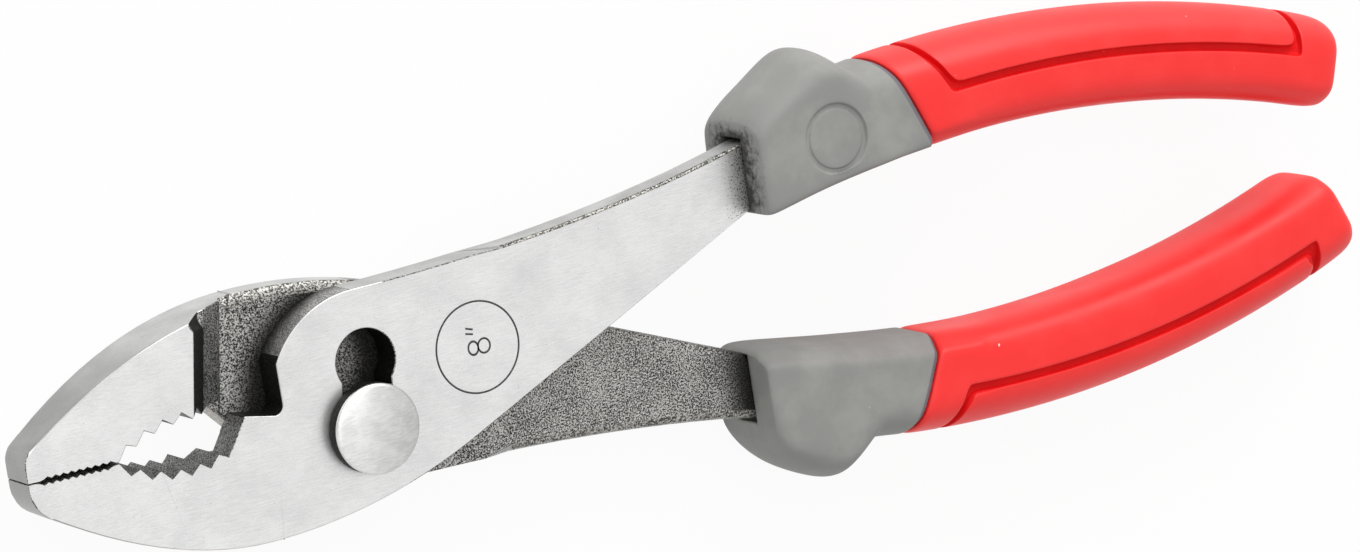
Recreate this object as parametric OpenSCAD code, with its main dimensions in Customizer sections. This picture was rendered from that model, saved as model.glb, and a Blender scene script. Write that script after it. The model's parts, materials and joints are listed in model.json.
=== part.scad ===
// Slip joint pliers: two forged halves on a shouldered pivot bolt that can sit
// in either end of a two-position slot, with a two-material grip on each tang.
// Working frame: X from the pivot axis towards the handles, Y up from the line
// where the jaws close, Z up from the plane where the two halves meet.

/* [Jaws] */
// Distance from the pivot axis to the end of the nose
jaw_reach = 46.8; // [43:0.1:52]
// Height of one jaw at the end of the nose
tip_h = 3.4; // [2:0.1:4.5]
// Thickness of both jaws at the end of the nose
tip_t = 6.4; // [4:0.1:8]
// Greatest depth of the front half's jaw from the closing line
front_belly_h = 14.9; // [13.5:0.1:18]
// Greatest depth of the rear half's jaw from the closing line
rear_belly_h = 16.4; // [13.5:0.1:18]
// Distance from the pivot axis to the deepest point of the front half's jaw
front_belly_x = 16; // [10:0.1:18]
// Distance from the pivot axis to the deepest point of the rear half's jaw
rear_belly_x = 12; // [10:0.1:18]
// Distance from the pivot axis to where the jaws start to thin
taper_x = 12; // [8:0.1:16]
// Gap left between the closed jaws
jaw_gap = 0.1; // [0.04:0.02:0.3]
// Flat at the nose before the fine serrations
nose_flat = 1.6; // [0.5:0.1:3]
// Drop of the serrations' tips below the nose flat
serration_drop = 0.13; // [0:0.01:0.3]
// Depth of the fine serrations
serration_h = 0.3; // [0.2:0.05:0.8]
// Number of fine serrations
serration_count = 9; // [5:1:14]
// Distance from the pivot axis to the front of the pipe grip
pipe_front_x = 34.7; // [33:0.1:37]
// Distance from the pivot axis to the last tooth of the pipe grip
pipe_back_x = 20.1; // [19.5:0.1:23]
// Depth of the pipe grip in the front half's jaw, to the tooth tips
pipe_front_sag = 2.6; // [1.5:0.1:3.2]
// Depth of the pipe grip in the rear half's jaw, to the tooth tips
pipe_rear_sag = 3.2; // [2:0.1:4.4]
// Depth of the coarse teeth
tooth_h = 1.2; // [0.6:0.1:1.8]
// Number of coarse teeth
tooth_count = 6; // [4:1:8]

/* [Joint] */
// Thickness of each half at the joint
plate_t = 5.2; // [4.6:0.1:6.5]
// Running gap between the halves, and under the bolt head and the nut
joint_gap = 0.1; // [0.04:0.02:0.2]
// Radius of the round plate about the middle of the slot
plate_r = 13.8; // [13:0.1:15.5]
// Drop of the rear half's plate towards the closing line
rear_plate_drop = 1.9; // [0:0.1:2.5]
// Drop of the pivot axis below the closing line
pivot_drop = 3.6; // [3:0.1:4.5]
// Distance between the two pivot positions
slot_pitch = 8.6; // [7.8:0.1:9.4]
// Lean of the slot away from square
slot_lean = 5.6; // [2:0.2:9]
// Lean of the step away from square
step_lean = 10; // [4:0.2:12]
// Diameter of each end of the slot
slot_d = 8.5; // [7.6:0.1:9]
// Width of the neck between the slot's ends
neck_w = 7; // [5.5:0.1:7.4]
// Distance from the pivot axis to the notch wall
notch_x = 11.6; // [10.5:0.1:12.2]
// Height of the notch floor above the closing line
notch_y = 1; // [0.5:0.1:1.6]
// Radius in the corner of the notch
notch_r = 1.2; // [0.5:0.1:2]
// Distance from the pivot axis to the end of the front half's notch floor
ledge_x = 17.1; // [15.5:0.1:18.2]
// Distance from the pivot axis to the end of the rear half's notch floor
rear_ledge_x = 15.1; // [14.5:0.1:18.2]
// Rise of the notch floor towards its end
ledge_rise = 0.9; // [0:0.1:1.6]
// Gap between the end of the notch floor and the foot of the other half's step
step_gap = 0.8; // [0.6:0.1:2]
// Length of the sloping foot of the step
foot_len = 2.9; // [1.5:0.1:4]
// Height of the sloping foot of the step
foot_h = 1.5; // [0.5:0.1:2.5]
// Length of the step's steep face, measured along the jaw
step_len = 3.1; // [1:0.1:4]
// Radius of the scoop at the outer end of the step
scoop_r = 2.5; // [1:0.1:3]
// Bite of the scoop into the step's steep face
scoop_bite = 0.8; // [0.3:0.1:1]
// Clearance of the bolt's flatted shank on each side in the slot
shank_clear = 0.07; // [0.03:0.01:0.1]
// Diameter of the bolt's round stem
stem_d = 6; // [5:0.1:6.4]
// Radial clearance of the stem in the rear half and in the nut
stem_clear = 0.06; // [0.02:0.01:0.1]
// Diameter of the bolt head
head_d = 11.9; // [10.5:0.1:13]
// Thickness of the bolt head at its rim
head_t = 2.5; // [1.2:0.1:3]
// Rise of the dome on the bolt head
dome_h = 0.6; // [0.2:0.05:1]
// Width of the nut across its flats
nut_w = 10; // [9:0.1:13]
// Thickness of the nut
nut_t = 3; // [2.4:0.1:3.6]
// Length of the stem that stands out of the nut
stem_end = 0.4; // [0.2:0.1:1]

/* [Handles] */
// Distance from the pivot axis to the mouth of each grip
grip_x = 59; // [50:0.5:66]
// Height of the upper grip's spine at the crown of its bend
upper_rise = 21.8; // [20:0.1:26]
// Depth of the lower grip's spine at the crown of its bend
lower_rise = 19.5; // [18:0.1:26]
// Radius of the bend along each grip
bend_r = 150; // [130:1:240]
// Distance along the upper spine from the mouth to the crown of the bend
upper_crown = 41.7; // [34:0.1:52]
// Distance along the lower spine from the mouth to the crown of the bend
lower_crown = 44; // [34:0.1:52]
// Length of the upper grip along its spine
upper_len = 96; // [90:0.1:112]
// Length of the lower grip along its spine
lower_len = 98.8; // [90:0.1:112]
// Length of the collar along the spine
collar_len = 25.7; // [24:0.1:32]
// Lean of the seam between the collar and the cover
seam_lean = 17; // [0:1:22]
// Half thickness of the collar at the guard
collar_w = 7.9; // [7.4:0.1:9.5]
// Half thickness of the cover
cover_w = 7.5; // [7:0.1:9]
// Height of the finger guard above the spine
guard_h = 12.2; // [9:0.1:14]
// Height of the grip's outer edge above the spine at the seam
outer_h = 6.9; // [6.4:0.1:8.5]
// Height of the grip's outer edge above the spine at its end
outer_end_h = 6.3; // [5.6:0.1:8]
// Depth of the grip's inner edge below the spine
inner_h = 7.1; // [6.6:0.1:8.5]
// Length of the rounded end of the grip
end_round = 7; // [5:0.1:9]
// Radius round the mouth of the collar
mouth_round = 3.5; // [1.5:0.1:4]
// Width of the tang where it enters the grip
tang_w = 8.6; // [7:0.1:9]
// Width of the tang at its end
tang_end_w = 5; // [3.5:0.1:6.5]
// Thickness of the tang
tang_t = 4.4; // [3.6:0.1:4.6]
// Distance by which the tang stops short of the shorter grip's end
tang_short = 23; // [18:0.5:40]
// Distance from the pivot axis to where the tang thins to its own thickness
tang_x = 24; // [18:0.5:30]
// Distance along the closing line from the pivot axis to the throat
throat_x = 0.3; // [-2:0.1:4]
// Wall of the collar's sleeve over the tang
sleeve_wall = 1.2; // [0.8:0.1:1.5]
// Length of the sleeve past the end of the tang
sleeve_end = 10; // [2:0.5:11]
// Gap between the tang, the sleeve and the cover
mould_gap = 0.1; // [0.04:0.02:0.2]

/* [Hidden] */
steel_colour = "lightgray";
core_colour = "gray";
cover_colour = "tomato";
overrun = 1;
round_fn = 96;

// Shape of the curves, as powers and steps with no length of their own
front_jaw_power = 1.9;
rear_jaw_power = 2.05;
taper_power = 2;
outer_power = 1;
inner_power = 0.72;
curve_steps = 14;
section_steps = 28;

// Stations along the collar past its rounded mouth, and its shape there
collar_at_shares = [0, 0.1, 0.28, 0.4, 0.5, 0.62, 0.73, 0.86, 1];
guard_shares = [0.56, 0.68, 0.9, 1, 0.98, 0.72, 0.14, 0, 0];
collar_in_shares = [0.86, 0.91, 0.96, 0.98, 1, 1, 1, 1, 1];
collar_w_shares = [0.96, 0.98, 1, 1, 1, 0.98, 0.96, 0.95, 0.95];
// Stations along the rounded mouth
mouth_at_shares = [0, 0.12, 0.4];
// Stations along the cover, and the rounding of its end
cover_at_shares = [0, 0.12, 0.24, 0.36, 0.48, 0.6, 0.72, 0.84, 0.93, 1];
end_at_shares = [0.3, 0.6, 0.85, 0.96, 1];
end_size_shares = [0.985, 0.93, 0.82, 0.71, 0.6];
sleeve_at_shares = [0, 0.15, 0.3, 0.45, 0.6, 0.75, 0.9, 1];
// Shift of the rear jaw's serrations against the front jaw's, so that the two mesh
mesh_share = 0.5;
// Flank of a section, as a share of the unclipped curve
flank_share = 0.9;
// Bend of the tang's back, from the plate to the mouth
tang_back_share = 0.55;
// Ramp from the plate's thickness to the tang's
tang_ramp_share = 0.7;
// Chamfer of the nut, the stem's end and the bolt head's rim
edge_chamfer_share = 0.08;

pivot = [0, -pivot_drop];
slot_dir = [sin(slot_lean), cos(slot_lean)];
slot_mid = pivot + slot_dir*slot_pitch/2;
rear_mid = slot_mid - [0, rear_plate_drop];
tang_mid_z = plate_t - tang_t/2;
step_x = max(ledge_x, rear_ledge_x) + step_gap;
shank_d = slot_d - 2*shank_clear;
flats_w = neck_w - 2*shank_clear;
tang_len = min(upper_len, lower_len) - tang_short;
sleeve_len = tang_len + sleeve_end;
tooth_pitch = (pipe_front_x - pipe_back_x)/(tooth_count - 1/2);
nut_z = -plate_t - joint_gap/2;
stem_len = -nut_z + nut_t + stem_end;

// Spine of a handle: an arc given by the height of its crown, its distance from
// the mouth of the grip and the grip's length
upper = [upper_rise, upper_crown, upper_len];
lower = [lower_rise, lower_crown, lower_len];
function spine_turn(u, arc) = (u - arc[1])/bend_r*180/PI;
function spine(u, arc) = [
    grip_x + bend_r*(sin(spine_turn(u, arc)) - sin(spine_turn(0, arc))),
    arc[0] + bend_r*(cos(spine_turn(u, arc)) - 1)];
function spine_out(u, arc) = [sin(spine_turn(u, arc)), cos(spine_turn(u, arc))];
function spine_along(u, arc) = [cos(spine_turn(u, arc)), -sin(spine_turn(u, arc))];

function lerp(a, b, t) = a + (b - a)*t;
function power_of(c, p) = sign(c)*pow(abs(c), p);
function bezier(a, b, c, t) = lerp(lerp(a, b, t), lerp(b, c, t), t);
function flatten(lists) = [for (l = lists) for (p = l) p];

// One ring of a grip: a rounded section with flat flanks, leaning by slant
function ring(u, arc, out, in, half_w, slant) = [for (i = [0:section_steps - 1])
    let (a = 360*i/section_steps,
        power = cos(a) > 0 ? outer_power : inner_power,
        v = (cos(a) > 0 ? out : in)*power_of(cos(a), power),
        w = half_w/flank_share*power_of(sin(a), power),
        w_flat = max(-half_w, min(half_w, w)),
        p = spine(u, arc) + spine_out(u, arc)*v - spine_along(u, arc)*v*tan(slant))
    [p[0], p[1], w_flat]];

function collar_ring(u, arc, i, inset, slant) = ring(u, arc,
    lerp(outer_h, guard_h, guard_shares[i]) - inset, inner_h*collar_in_shares[i] - inset,
    collar_w*collar_w_shares[i] - inset, slant);
function collar_rings(arc) = concat(
    [for (s = mouth_at_shares)
        collar_ring(s*mouth_round, arc, 0, mouth_round*(1 - sqrt(1 - pow(1 - s, 2))), 0)],
    [for (i = [0:len(collar_at_shares) - 1]) let (s = collar_at_shares[i])
        collar_ring(lerp(mouth_round, collar_len, s), arc, i, 0, seam_lean*max(0, 2*s - 1))]);

function cover_ring(u, arc, size, slant) =
    let (t = (u - collar_len)/(arc[2] - collar_len))
    ring(u, arc, lerp(outer_h, outer_end_h, t)*size, inner_h*size, cover_w*size, slant);

function cover_rings(arc) = concat(
    [for (s = cover_at_shares)
        cover_ring(lerp(collar_len + mould_gap, arc[2] - end_round, s), arc, 1,
            seam_lean*max(0, 1 - 2*s))],
    [for (i = [0:len(end_at_shares) - 1])
        cover_ring(arc[2] - end_round*(1 - end_at_shares[i]), arc, end_size_shares[i], 0)]);

// The sleeve that runs on inside the cover, grown by clear on every side
function tang_half_w(u) = lerp(tang_w, tang_end_w, min(1, u/tang_len))/2;
function sleeve_ring(u, arc, clear) =
    let (h = tang_half_w(u) + mould_gap + sleeve_wall + clear)
    ring(u, arc, h/flank_share, h/flank_share, tang_t/2 + mould_gap + sleeve_wall + clear, 0);
function sleeve_rings(arc, from, to, clear) = [for (s = sleeve_at_shares)
    sleeve_ring(lerp(from, to, s), arc, clear)];

// Places of the grip points that set the overall box
function reach(arc, axis) = max([for (r = concat(collar_rings(arc), cover_rings(arc)))
    for (p = r) p[axis]]);
x_mid = (max(reach(upper, 0), reach(lower, 0)) - jaw_reach)/2;
y_mid = (reach(upper, 1) - reach(lower, 1))/2;
z_rest = tang_mid_z + max(collar_w, cover_w);

// A solid through a list of rings of equal length, closed at both ends
module sweep(rings) {
    n = len(rings[0]);
    last = len(rings) - 1;
    side = [for (r = [0:last - 1]) for (i = [0:n - 1]) for (half = [0, 1])
        let (a = r*n + i, b = r*n + (i + 1) % n)
        half == 0 ? [a, b + n, b] : [a, a + n, b + n]];
    caps = [[for (i = [0:n - 1]) i], [for (i = [0:n - 1]) (last + 1)*n - 1 - i]];
    polyhedron(points = flatten(rings), faces = concat(side, caps));
}

// Working edge of a jaw from the nose to the last coarse tooth; the pipe grip is
// given by its depth and the end of its own half's notch floor
front_grip = [pipe_front_sag, ledge_x];
rear_grip = [pipe_rear_sag, rear_ledge_x];
function pipe_y(x, grip) =
    let (t = (x + pipe_front_x)/(pipe_front_x - grip[1]))
    -grip[0]*4*t*(1 - t);
serration_pitch = (jaw_reach - nose_flat - pipe_front_x)/(serration_count + 1);
serration_y = -jaw_gap/2 - serration_drop;
function serration_x(i) = -jaw_reach + nose_flat + i*serration_pitch;
function serrations(shift) = flatten([for (i = [0:serration_count - 1])
    let (x = serration_x(i + shift))
    [[x, serration_y], [x + serration_pitch/2, serration_y - serration_h]]]);
function coarse_teeth(grip) = flatten([for (i = [0:tooth_count - 1])
    let (x = -pipe_front_x + i*tooth_pitch, x_low = x + tooth_pitch/2)
    [[x, pipe_y(x, grip) - jaw_gap/2], [x_low, pipe_y(x_low, grip) - tooth_h]]]);
function working_edge(grip, shift) = concat(
    [[-jaw_reach, -jaw_gap/2], [serration_x(shift - 1/2), -jaw_gap/2]],
    serrations(shift),
    [[serration_x(serration_count + shift), serration_y]],
    coarse_teeth(grip));

// Outer edge of a jaw, from share 0 at the nose to share 1 at its deepest point; a
// jaw is given by its depth, the place of its deepest point and its curve's power
front_jaw = [front_belly_h, front_belly_x, front_jaw_power];
rear_jaw = [rear_belly_h, rear_belly_x, rear_jaw_power];
function jaw_edge(s, jaw) = [lerp(-jaw_reach, -jaw[1], s),
    -lerp(tip_h, jaw[0], 1 - pow(1 - s, jaw[2]))];

// Plate, jaw and tang of one half, seen from its ground face
function half_outline(arc, grip, jaw, mid, shift) =
    let (corner_turn = 180 - acos((notch_x + mid[0])/plate_r),
        top = mid + [0, plate_r],
        mouth = spine(0, arc),
        back = mouth + spine_out(0, arc)*tang_w/2,
        front = mouth - spine_out(0, arc)*tang_w/2,
        throat = [throat_x, -jaw[0]],
        deep = [-jaw[1], -jaw[0]],
        bend = throat + (front - throat)*(throat_x + jaw[1])/norm(front - throat))
    concat(
        working_edge(grip, shift),
        [[-grip[1], notch_y + ledge_rise]],
        [for (i = [0:curve_steps]) let (a = 90*i/curve_steps)
            [-notch_x - notch_r + notch_r*sin(a), notch_y + notch_r - notch_r*cos(a)]],
        [for (i = [0:curve_steps]) let (a = lerp(corner_turn, 90, i/curve_steps))
            mid + plate_r*[cos(a), sin(a)]],
        [for (i = [1:curve_steps])
            bezier(top, [grip_x*tang_back_share, top[1]], back, i/curve_steps)],
        [for (i = [1:curve_steps]) let (u = tang_len*i/curve_steps)
            spine(u, arc) + spine_out(u, arc)*tang_half_w(u)],
        [for (i = [curve_steps:-1:0]) let (u = tang_len*i/curve_steps)
            spine(u, arc) - spine_out(u, arc)*tang_half_w(u)],
        [for (i = [curve_steps:-1:1]) bezier(deep, throat, bend, i/curve_steps)],
        [for (i = [curve_steps:-1:0]) jaw_edge(i/curve_steps, jaw)]);

// The part of a jaw that reaches across behind the other half's plate
function cheek_outline(grip, jaw, shift) =
    let (x_in = -(notch_x + grip[1])/2,
        share = (jaw_reach + x_in)/(jaw_reach - jaw[1]),
        edge = jaw_edge(min(1, share), jaw))
    concat(working_edge(grip, shift),
        [[x_in, pipe_y(-pipe_back_x, grip) - tooth_h]],
        [[x_in, edge[1]]],
        [for (i = [curve_steps:-1:0]) jaw_edge(min(1, share)*i/curve_steps, jaw)]);

// Side view of one half: the nose thins on both faces, the tang on one
module side_view() {
    taper = [for (i = [0:curve_steps]) let (s = i/curve_steps)
        [lerp(-taper_x, -jaw_reach, s), lerp(plate_t, tip_t/2, pow(s, taper_power))]];
    far_x = grip_x + max(upper_len, lower_len);
    tang_z = plate_t - tang_t;
    outline = concat(
        [for (p = taper) p],
        [for (i = [len(taper) - 1:-1:0]) [taper[i][0], -taper[i][1]]],
        [[tang_x*tang_ramp_share, -plate_t], [tang_x*tang_ramp_share, 0]],
        [[tang_x, tang_z], [far_x, tang_z], [far_x, plate_t]]);
    rotate([90, 0, 0])
        linear_extrude(2*(rear_belly_h + upper_rise + guard_h), center = true)
            polygon(outline);
}

// The step, in a frame that leans with it: its steep face stands on a sloping foot
step_foot = [-step_x, -tooth_h - pipe_front_sag];
function steep_x(z) = -foot_len - step_len*(-z - foot_h)/(plate_t - foot_h);

module at_step() {
    translate(step_foot) rotate([0, 0, step_lean]) children();
}

// Space cleared behind a jaw for the other half's plate
module step_space() {
    top = -plate_t - overrun;
    slope = [[0, joint_gap/2], [0, -joint_gap], [-foot_len, -foot_h], [steep_x(top), top],
        [jaw_reach, top], [jaw_reach, joint_gap/2]];
    at_step() rotate([90, 0, 0])
        linear_extrude(2*(rear_belly_h + plate_r), center = true) polygon(slope);
}

// Scoop down the steep face, at the jaw's outer edge
module scoop(jaw) {
    edge = jaw_edge((jaw_reach - step_x - foot_len)/(jaw_reach - jaw[1]), jaw) - step_foot;
    y = edge[1]*cos(step_lean) - edge[0]*sin(step_lean);
    steep = atan2(step_len, plate_t - foot_h);
    x = scoop_r/cos(steep) - scoop_bite - foot_len;
    at_step() intersection() {
        translate([x, y, -foot_h]) rotate([0, steep, 0])
            cylinder(r = scoop_r, h = 4*(plate_t + scoop_r), center = true, $fn = round_fn);
        translate([-jaw_reach, y - 2*scoop_r, -plate_t - overrun])
            cube([2*jaw_reach, 4*scoop_r, plate_t + overrun - foot_h]);
    }
}

// One forged half, jaw below the closing line and tang above it
module half(arc, grip, jaw, mid, shift) {
    difference() {
        intersection() {
            union() {
                linear_extrude(plate_t) polygon(half_outline(arc, grip, jaw, mid, shift));
                linear_extrude(2*plate_t, center = true)
                    polygon(cheek_outline(grip, jaw, shift));
            }
            side_view();
        }
        step_space();
        scoop(jaw);
    }
}

module slot() {
    translate([pivot[0], pivot[1], -overrun])
        rotate([0, 0, -slot_lean]) {
            for (y = [0, slot_pitch])
                translate([0, y, 0]) cylinder(d = slot_d, h = plate_t + 2*overrun, $fn = round_fn);
            translate([-neck_w/2, 0, 0]) cube([neck_w, slot_pitch, plate_t + 2*overrun]);
        }
}

// Moves the working frame to the part's own: origin under the middle of its box
module place() {
    translate([-x_mid, -y_mid, z_rest]) children();
}

module front_half() {
    color(steel_colour) place() difference() {
        half(upper, front_grip, front_jaw, slot_mid, 0);
        slot();
    }
}

module rear_half() {
    color(steel_colour) place() difference() {
        rotate([180, 0, 0]) half(lower, rear_grip, rear_jaw, rear_mid, mesh_share);
        translate([pivot[0], pivot[1], -plate_t - overrun])
            cylinder(d = stem_d + 2*stem_clear, h = plate_t + 2*overrun, $fn = round_fn);
    }
}

module pivot_bolt() {
    head_z = plate_t + joint_gap/2;
    rim = head_d*edge_chamfer_share;
    dome_r = (pow(head_d/2 - rim, 2) + pow(dome_h, 2))/(2*dome_h);
    dome_turn = asin((head_d/2 - rim)/dome_r);
    point = stem_d*edge_chamfer_share;
    turned = concat([[0, -stem_len], [stem_d/2 - point, -stem_len], [stem_d/2, point - stem_len],
            [stem_d/2, head_z], [head_d/2, head_z], [head_d/2, head_z + head_t - rim/2]],
        [for (i = [curve_steps:-1:0]) let (a = dome_turn*i/curve_steps)
            [dome_r*sin(a), head_z + head_t + dome_h - dome_r*(1 - cos(a))]]);
    color(steel_colour) place() translate([pivot[0], pivot[1], 0]) {
        rotate_extrude($fn = round_fn) polygon(turned);
        intersection() {
            cylinder(d = shank_d, h = head_z + head_t/2, $fn = round_fn);
            rotate([0, 0, -slot_lean]) translate([-flats_w/2, -shank_d, 0])
                cube([flats_w, 2*shank_d, head_z + head_t/2]);
        }
    }
}

module pivot_nut() {
    corner_d = nut_w/cos(30);
    chamfer = corner_d*edge_chamfer_share;
    blank = [[0, 0], [0, -nut_t], [corner_d/2 - chamfer, -nut_t],
        [corner_d/2, chamfer - nut_t], [corner_d/2, 0]];
    color(steel_colour) place() translate([pivot[0], pivot[1], nut_z]) difference() {
        intersection() {
            translate([0, 0, -nut_t]) cylinder(d = corner_d, h = nut_t, $fn = 6);
            rotate_extrude($fn = round_fn) polygon(blank);
        }
        translate([0, 0, -nut_t - overrun])
            cylinder(d = stem_d + 2*stem_clear, h = nut_t + 2*overrun, $fn = round_fn);
    }
}

// Pocket for the tang, with the moulding gap all round
module tang_pocket(arc) {
    edge = [for (i = [0:curve_steps]) let (u = (tang_len + mould_gap)*i/curve_steps)
        [spine(u, arc), spine_out(u, arc)*(tang_half_w(u) + mould_gap)]];
    start = spine(-overrun, arc);
    side = spine_out(0, arc)*(tang_w/2 + mould_gap);
    outline = concat([start + side], [for (p = edge) p[0] + p[1]],
        [for (i = [curve_steps:-1:0]) edge[i][0] - edge[i][1]], [start - side]);
    translate([0, 0, -tang_t/2 - mould_gap])
        linear_extrude(tang_t + 2*mould_gap) polygon(outline);
}

// Collar with the finger guard, in one moulding with its sleeve
module grip_core(arc) {
    color(core_colour) difference() {
        union() {
            sweep(collar_rings(arc));
            sweep(sleeve_rings(arc, collar_len/2, sleeve_len, 0));
        }
        tang_pocket(arc);
    }
}

module grip_cover(arc) {
    color(cover_colour) difference() {
        sweep(cover_rings(arc));
        sweep(sleeve_rings(arc, collar_len/2, sleeve_len + mould_gap, mould_gap));
    }
}

module upper_grip_core() {
    place() translate([0, 0, tang_mid_z]) grip_core(upper);
}

module upper_grip_cover() {
    place() translate([0, 0, tang_mid_z]) grip_cover(upper);
}

module lower_grip_core() {
    place() rotate([180, 0, 0]) translate([0, 0, tang_mid_z]) grip_core(lower);
}

module lower_grip_cover() {
    place() rotate([180, 0, 0]) translate([0, 0, tang_mid_z]) grip_cover(lower);
}

front_half();
rear_half();
pivot_bolt();
pivot_nut();
upper_grip_core();
upper_grip_cover();
lower_grip_core();
lower_grip_cover();
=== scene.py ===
"""Slip joint pliers: the looks of the part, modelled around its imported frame."""

import json
import logging
import math
from collections.abc import Sequence
from dataclasses import dataclass, replace
from enum import Enum

import bmesh
import bpy
from mathutils import Matrix, Vector


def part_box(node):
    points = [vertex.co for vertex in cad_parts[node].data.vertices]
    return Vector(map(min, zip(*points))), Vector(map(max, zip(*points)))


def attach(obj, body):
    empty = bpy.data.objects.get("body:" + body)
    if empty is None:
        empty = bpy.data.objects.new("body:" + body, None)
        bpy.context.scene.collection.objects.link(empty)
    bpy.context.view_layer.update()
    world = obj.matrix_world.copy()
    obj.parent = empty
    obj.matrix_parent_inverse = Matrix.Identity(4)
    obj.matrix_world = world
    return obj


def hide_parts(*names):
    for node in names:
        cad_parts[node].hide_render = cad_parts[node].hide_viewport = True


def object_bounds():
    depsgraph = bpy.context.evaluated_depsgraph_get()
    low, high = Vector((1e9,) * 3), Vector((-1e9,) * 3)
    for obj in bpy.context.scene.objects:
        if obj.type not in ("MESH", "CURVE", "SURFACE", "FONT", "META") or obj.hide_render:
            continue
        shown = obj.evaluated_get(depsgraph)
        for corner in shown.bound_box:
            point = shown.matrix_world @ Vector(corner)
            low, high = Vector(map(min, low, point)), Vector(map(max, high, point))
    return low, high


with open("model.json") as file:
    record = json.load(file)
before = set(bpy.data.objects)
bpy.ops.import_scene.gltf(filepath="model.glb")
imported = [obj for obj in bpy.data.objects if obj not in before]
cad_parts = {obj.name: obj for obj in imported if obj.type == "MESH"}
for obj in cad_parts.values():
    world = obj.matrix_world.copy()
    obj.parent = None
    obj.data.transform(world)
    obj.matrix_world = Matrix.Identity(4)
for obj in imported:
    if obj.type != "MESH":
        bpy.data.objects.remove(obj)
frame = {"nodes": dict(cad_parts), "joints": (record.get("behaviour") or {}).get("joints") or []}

LOG = logging.getLogger("pliers")
CAD_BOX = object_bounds()

# Metres in a millimetre: sizes below are millimetres unless they say otherwise
MM = 0.001
# Vertices closer than this are one, and edges shorter than the next are dropped, in metres
WELD = 1e-6
SPECK = 1e-5
# Values between which most of a noise lies
NOISE_SPAN = (0.3, 0.7)
# Crease of an edge that stays sharp when its surface is subdivided, and of one that goes round
SHARP, SOFT = 1.0, 0.0

Colour = tuple[float, float, float]
Span = tuple[float, float]


class Body(Enum):
    """The bodies that pieces ride on."""

    FRONT = "front"
    BOLT = "bolt"
    REAR = "rear"


class Slot(Enum):
    """The record's material slots."""

    FORGED = "forged_steel"
    BOLT = "bolt_steel"
    GREY = "grey_moulding"
    RED = "red_moulding"


class Side(Enum):
    """The upper handle, or the lower one, which is the same turned over about the length."""

    UPPER = 1
    LOWER = -1


@dataclass(frozen=True)
class Datum:
    """The drawing's zero point: on the pivot axis, on the jaws' closing line, at the joint's mid-plane.

    Args:
        pivot: Place of the pivot axis in the frame, in metres.
        pivot_drop: Distance from the closing line down to the pivot.
    """

    pivot: Vector
    pivot_drop: float = 3.6

    def place(self, x: float, y: float, z: float) -> Vector:
        """Returns a place of the drawing in the frame, in metres."""
        return self.pivot + Vector((x, y + self.pivot_drop, z)) * MM

    def drawn(self, place: Vector) -> Vector:
        """Returns a place of the frame in the drawing, in millimetres."""
        return (place - self.pivot) / MM - Vector((0.0, self.pivot_drop, 0.0))


def find_datum() -> Datum:
    """Returns the drawing's zero point, from the place of the pivot joint."""
    hinge = next(joint for joint in frame["joints"] if joint["name"] == "pivot")
    return Datum(Vector(hinge["pos_m"]))


DATUM = find_datum()


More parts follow.
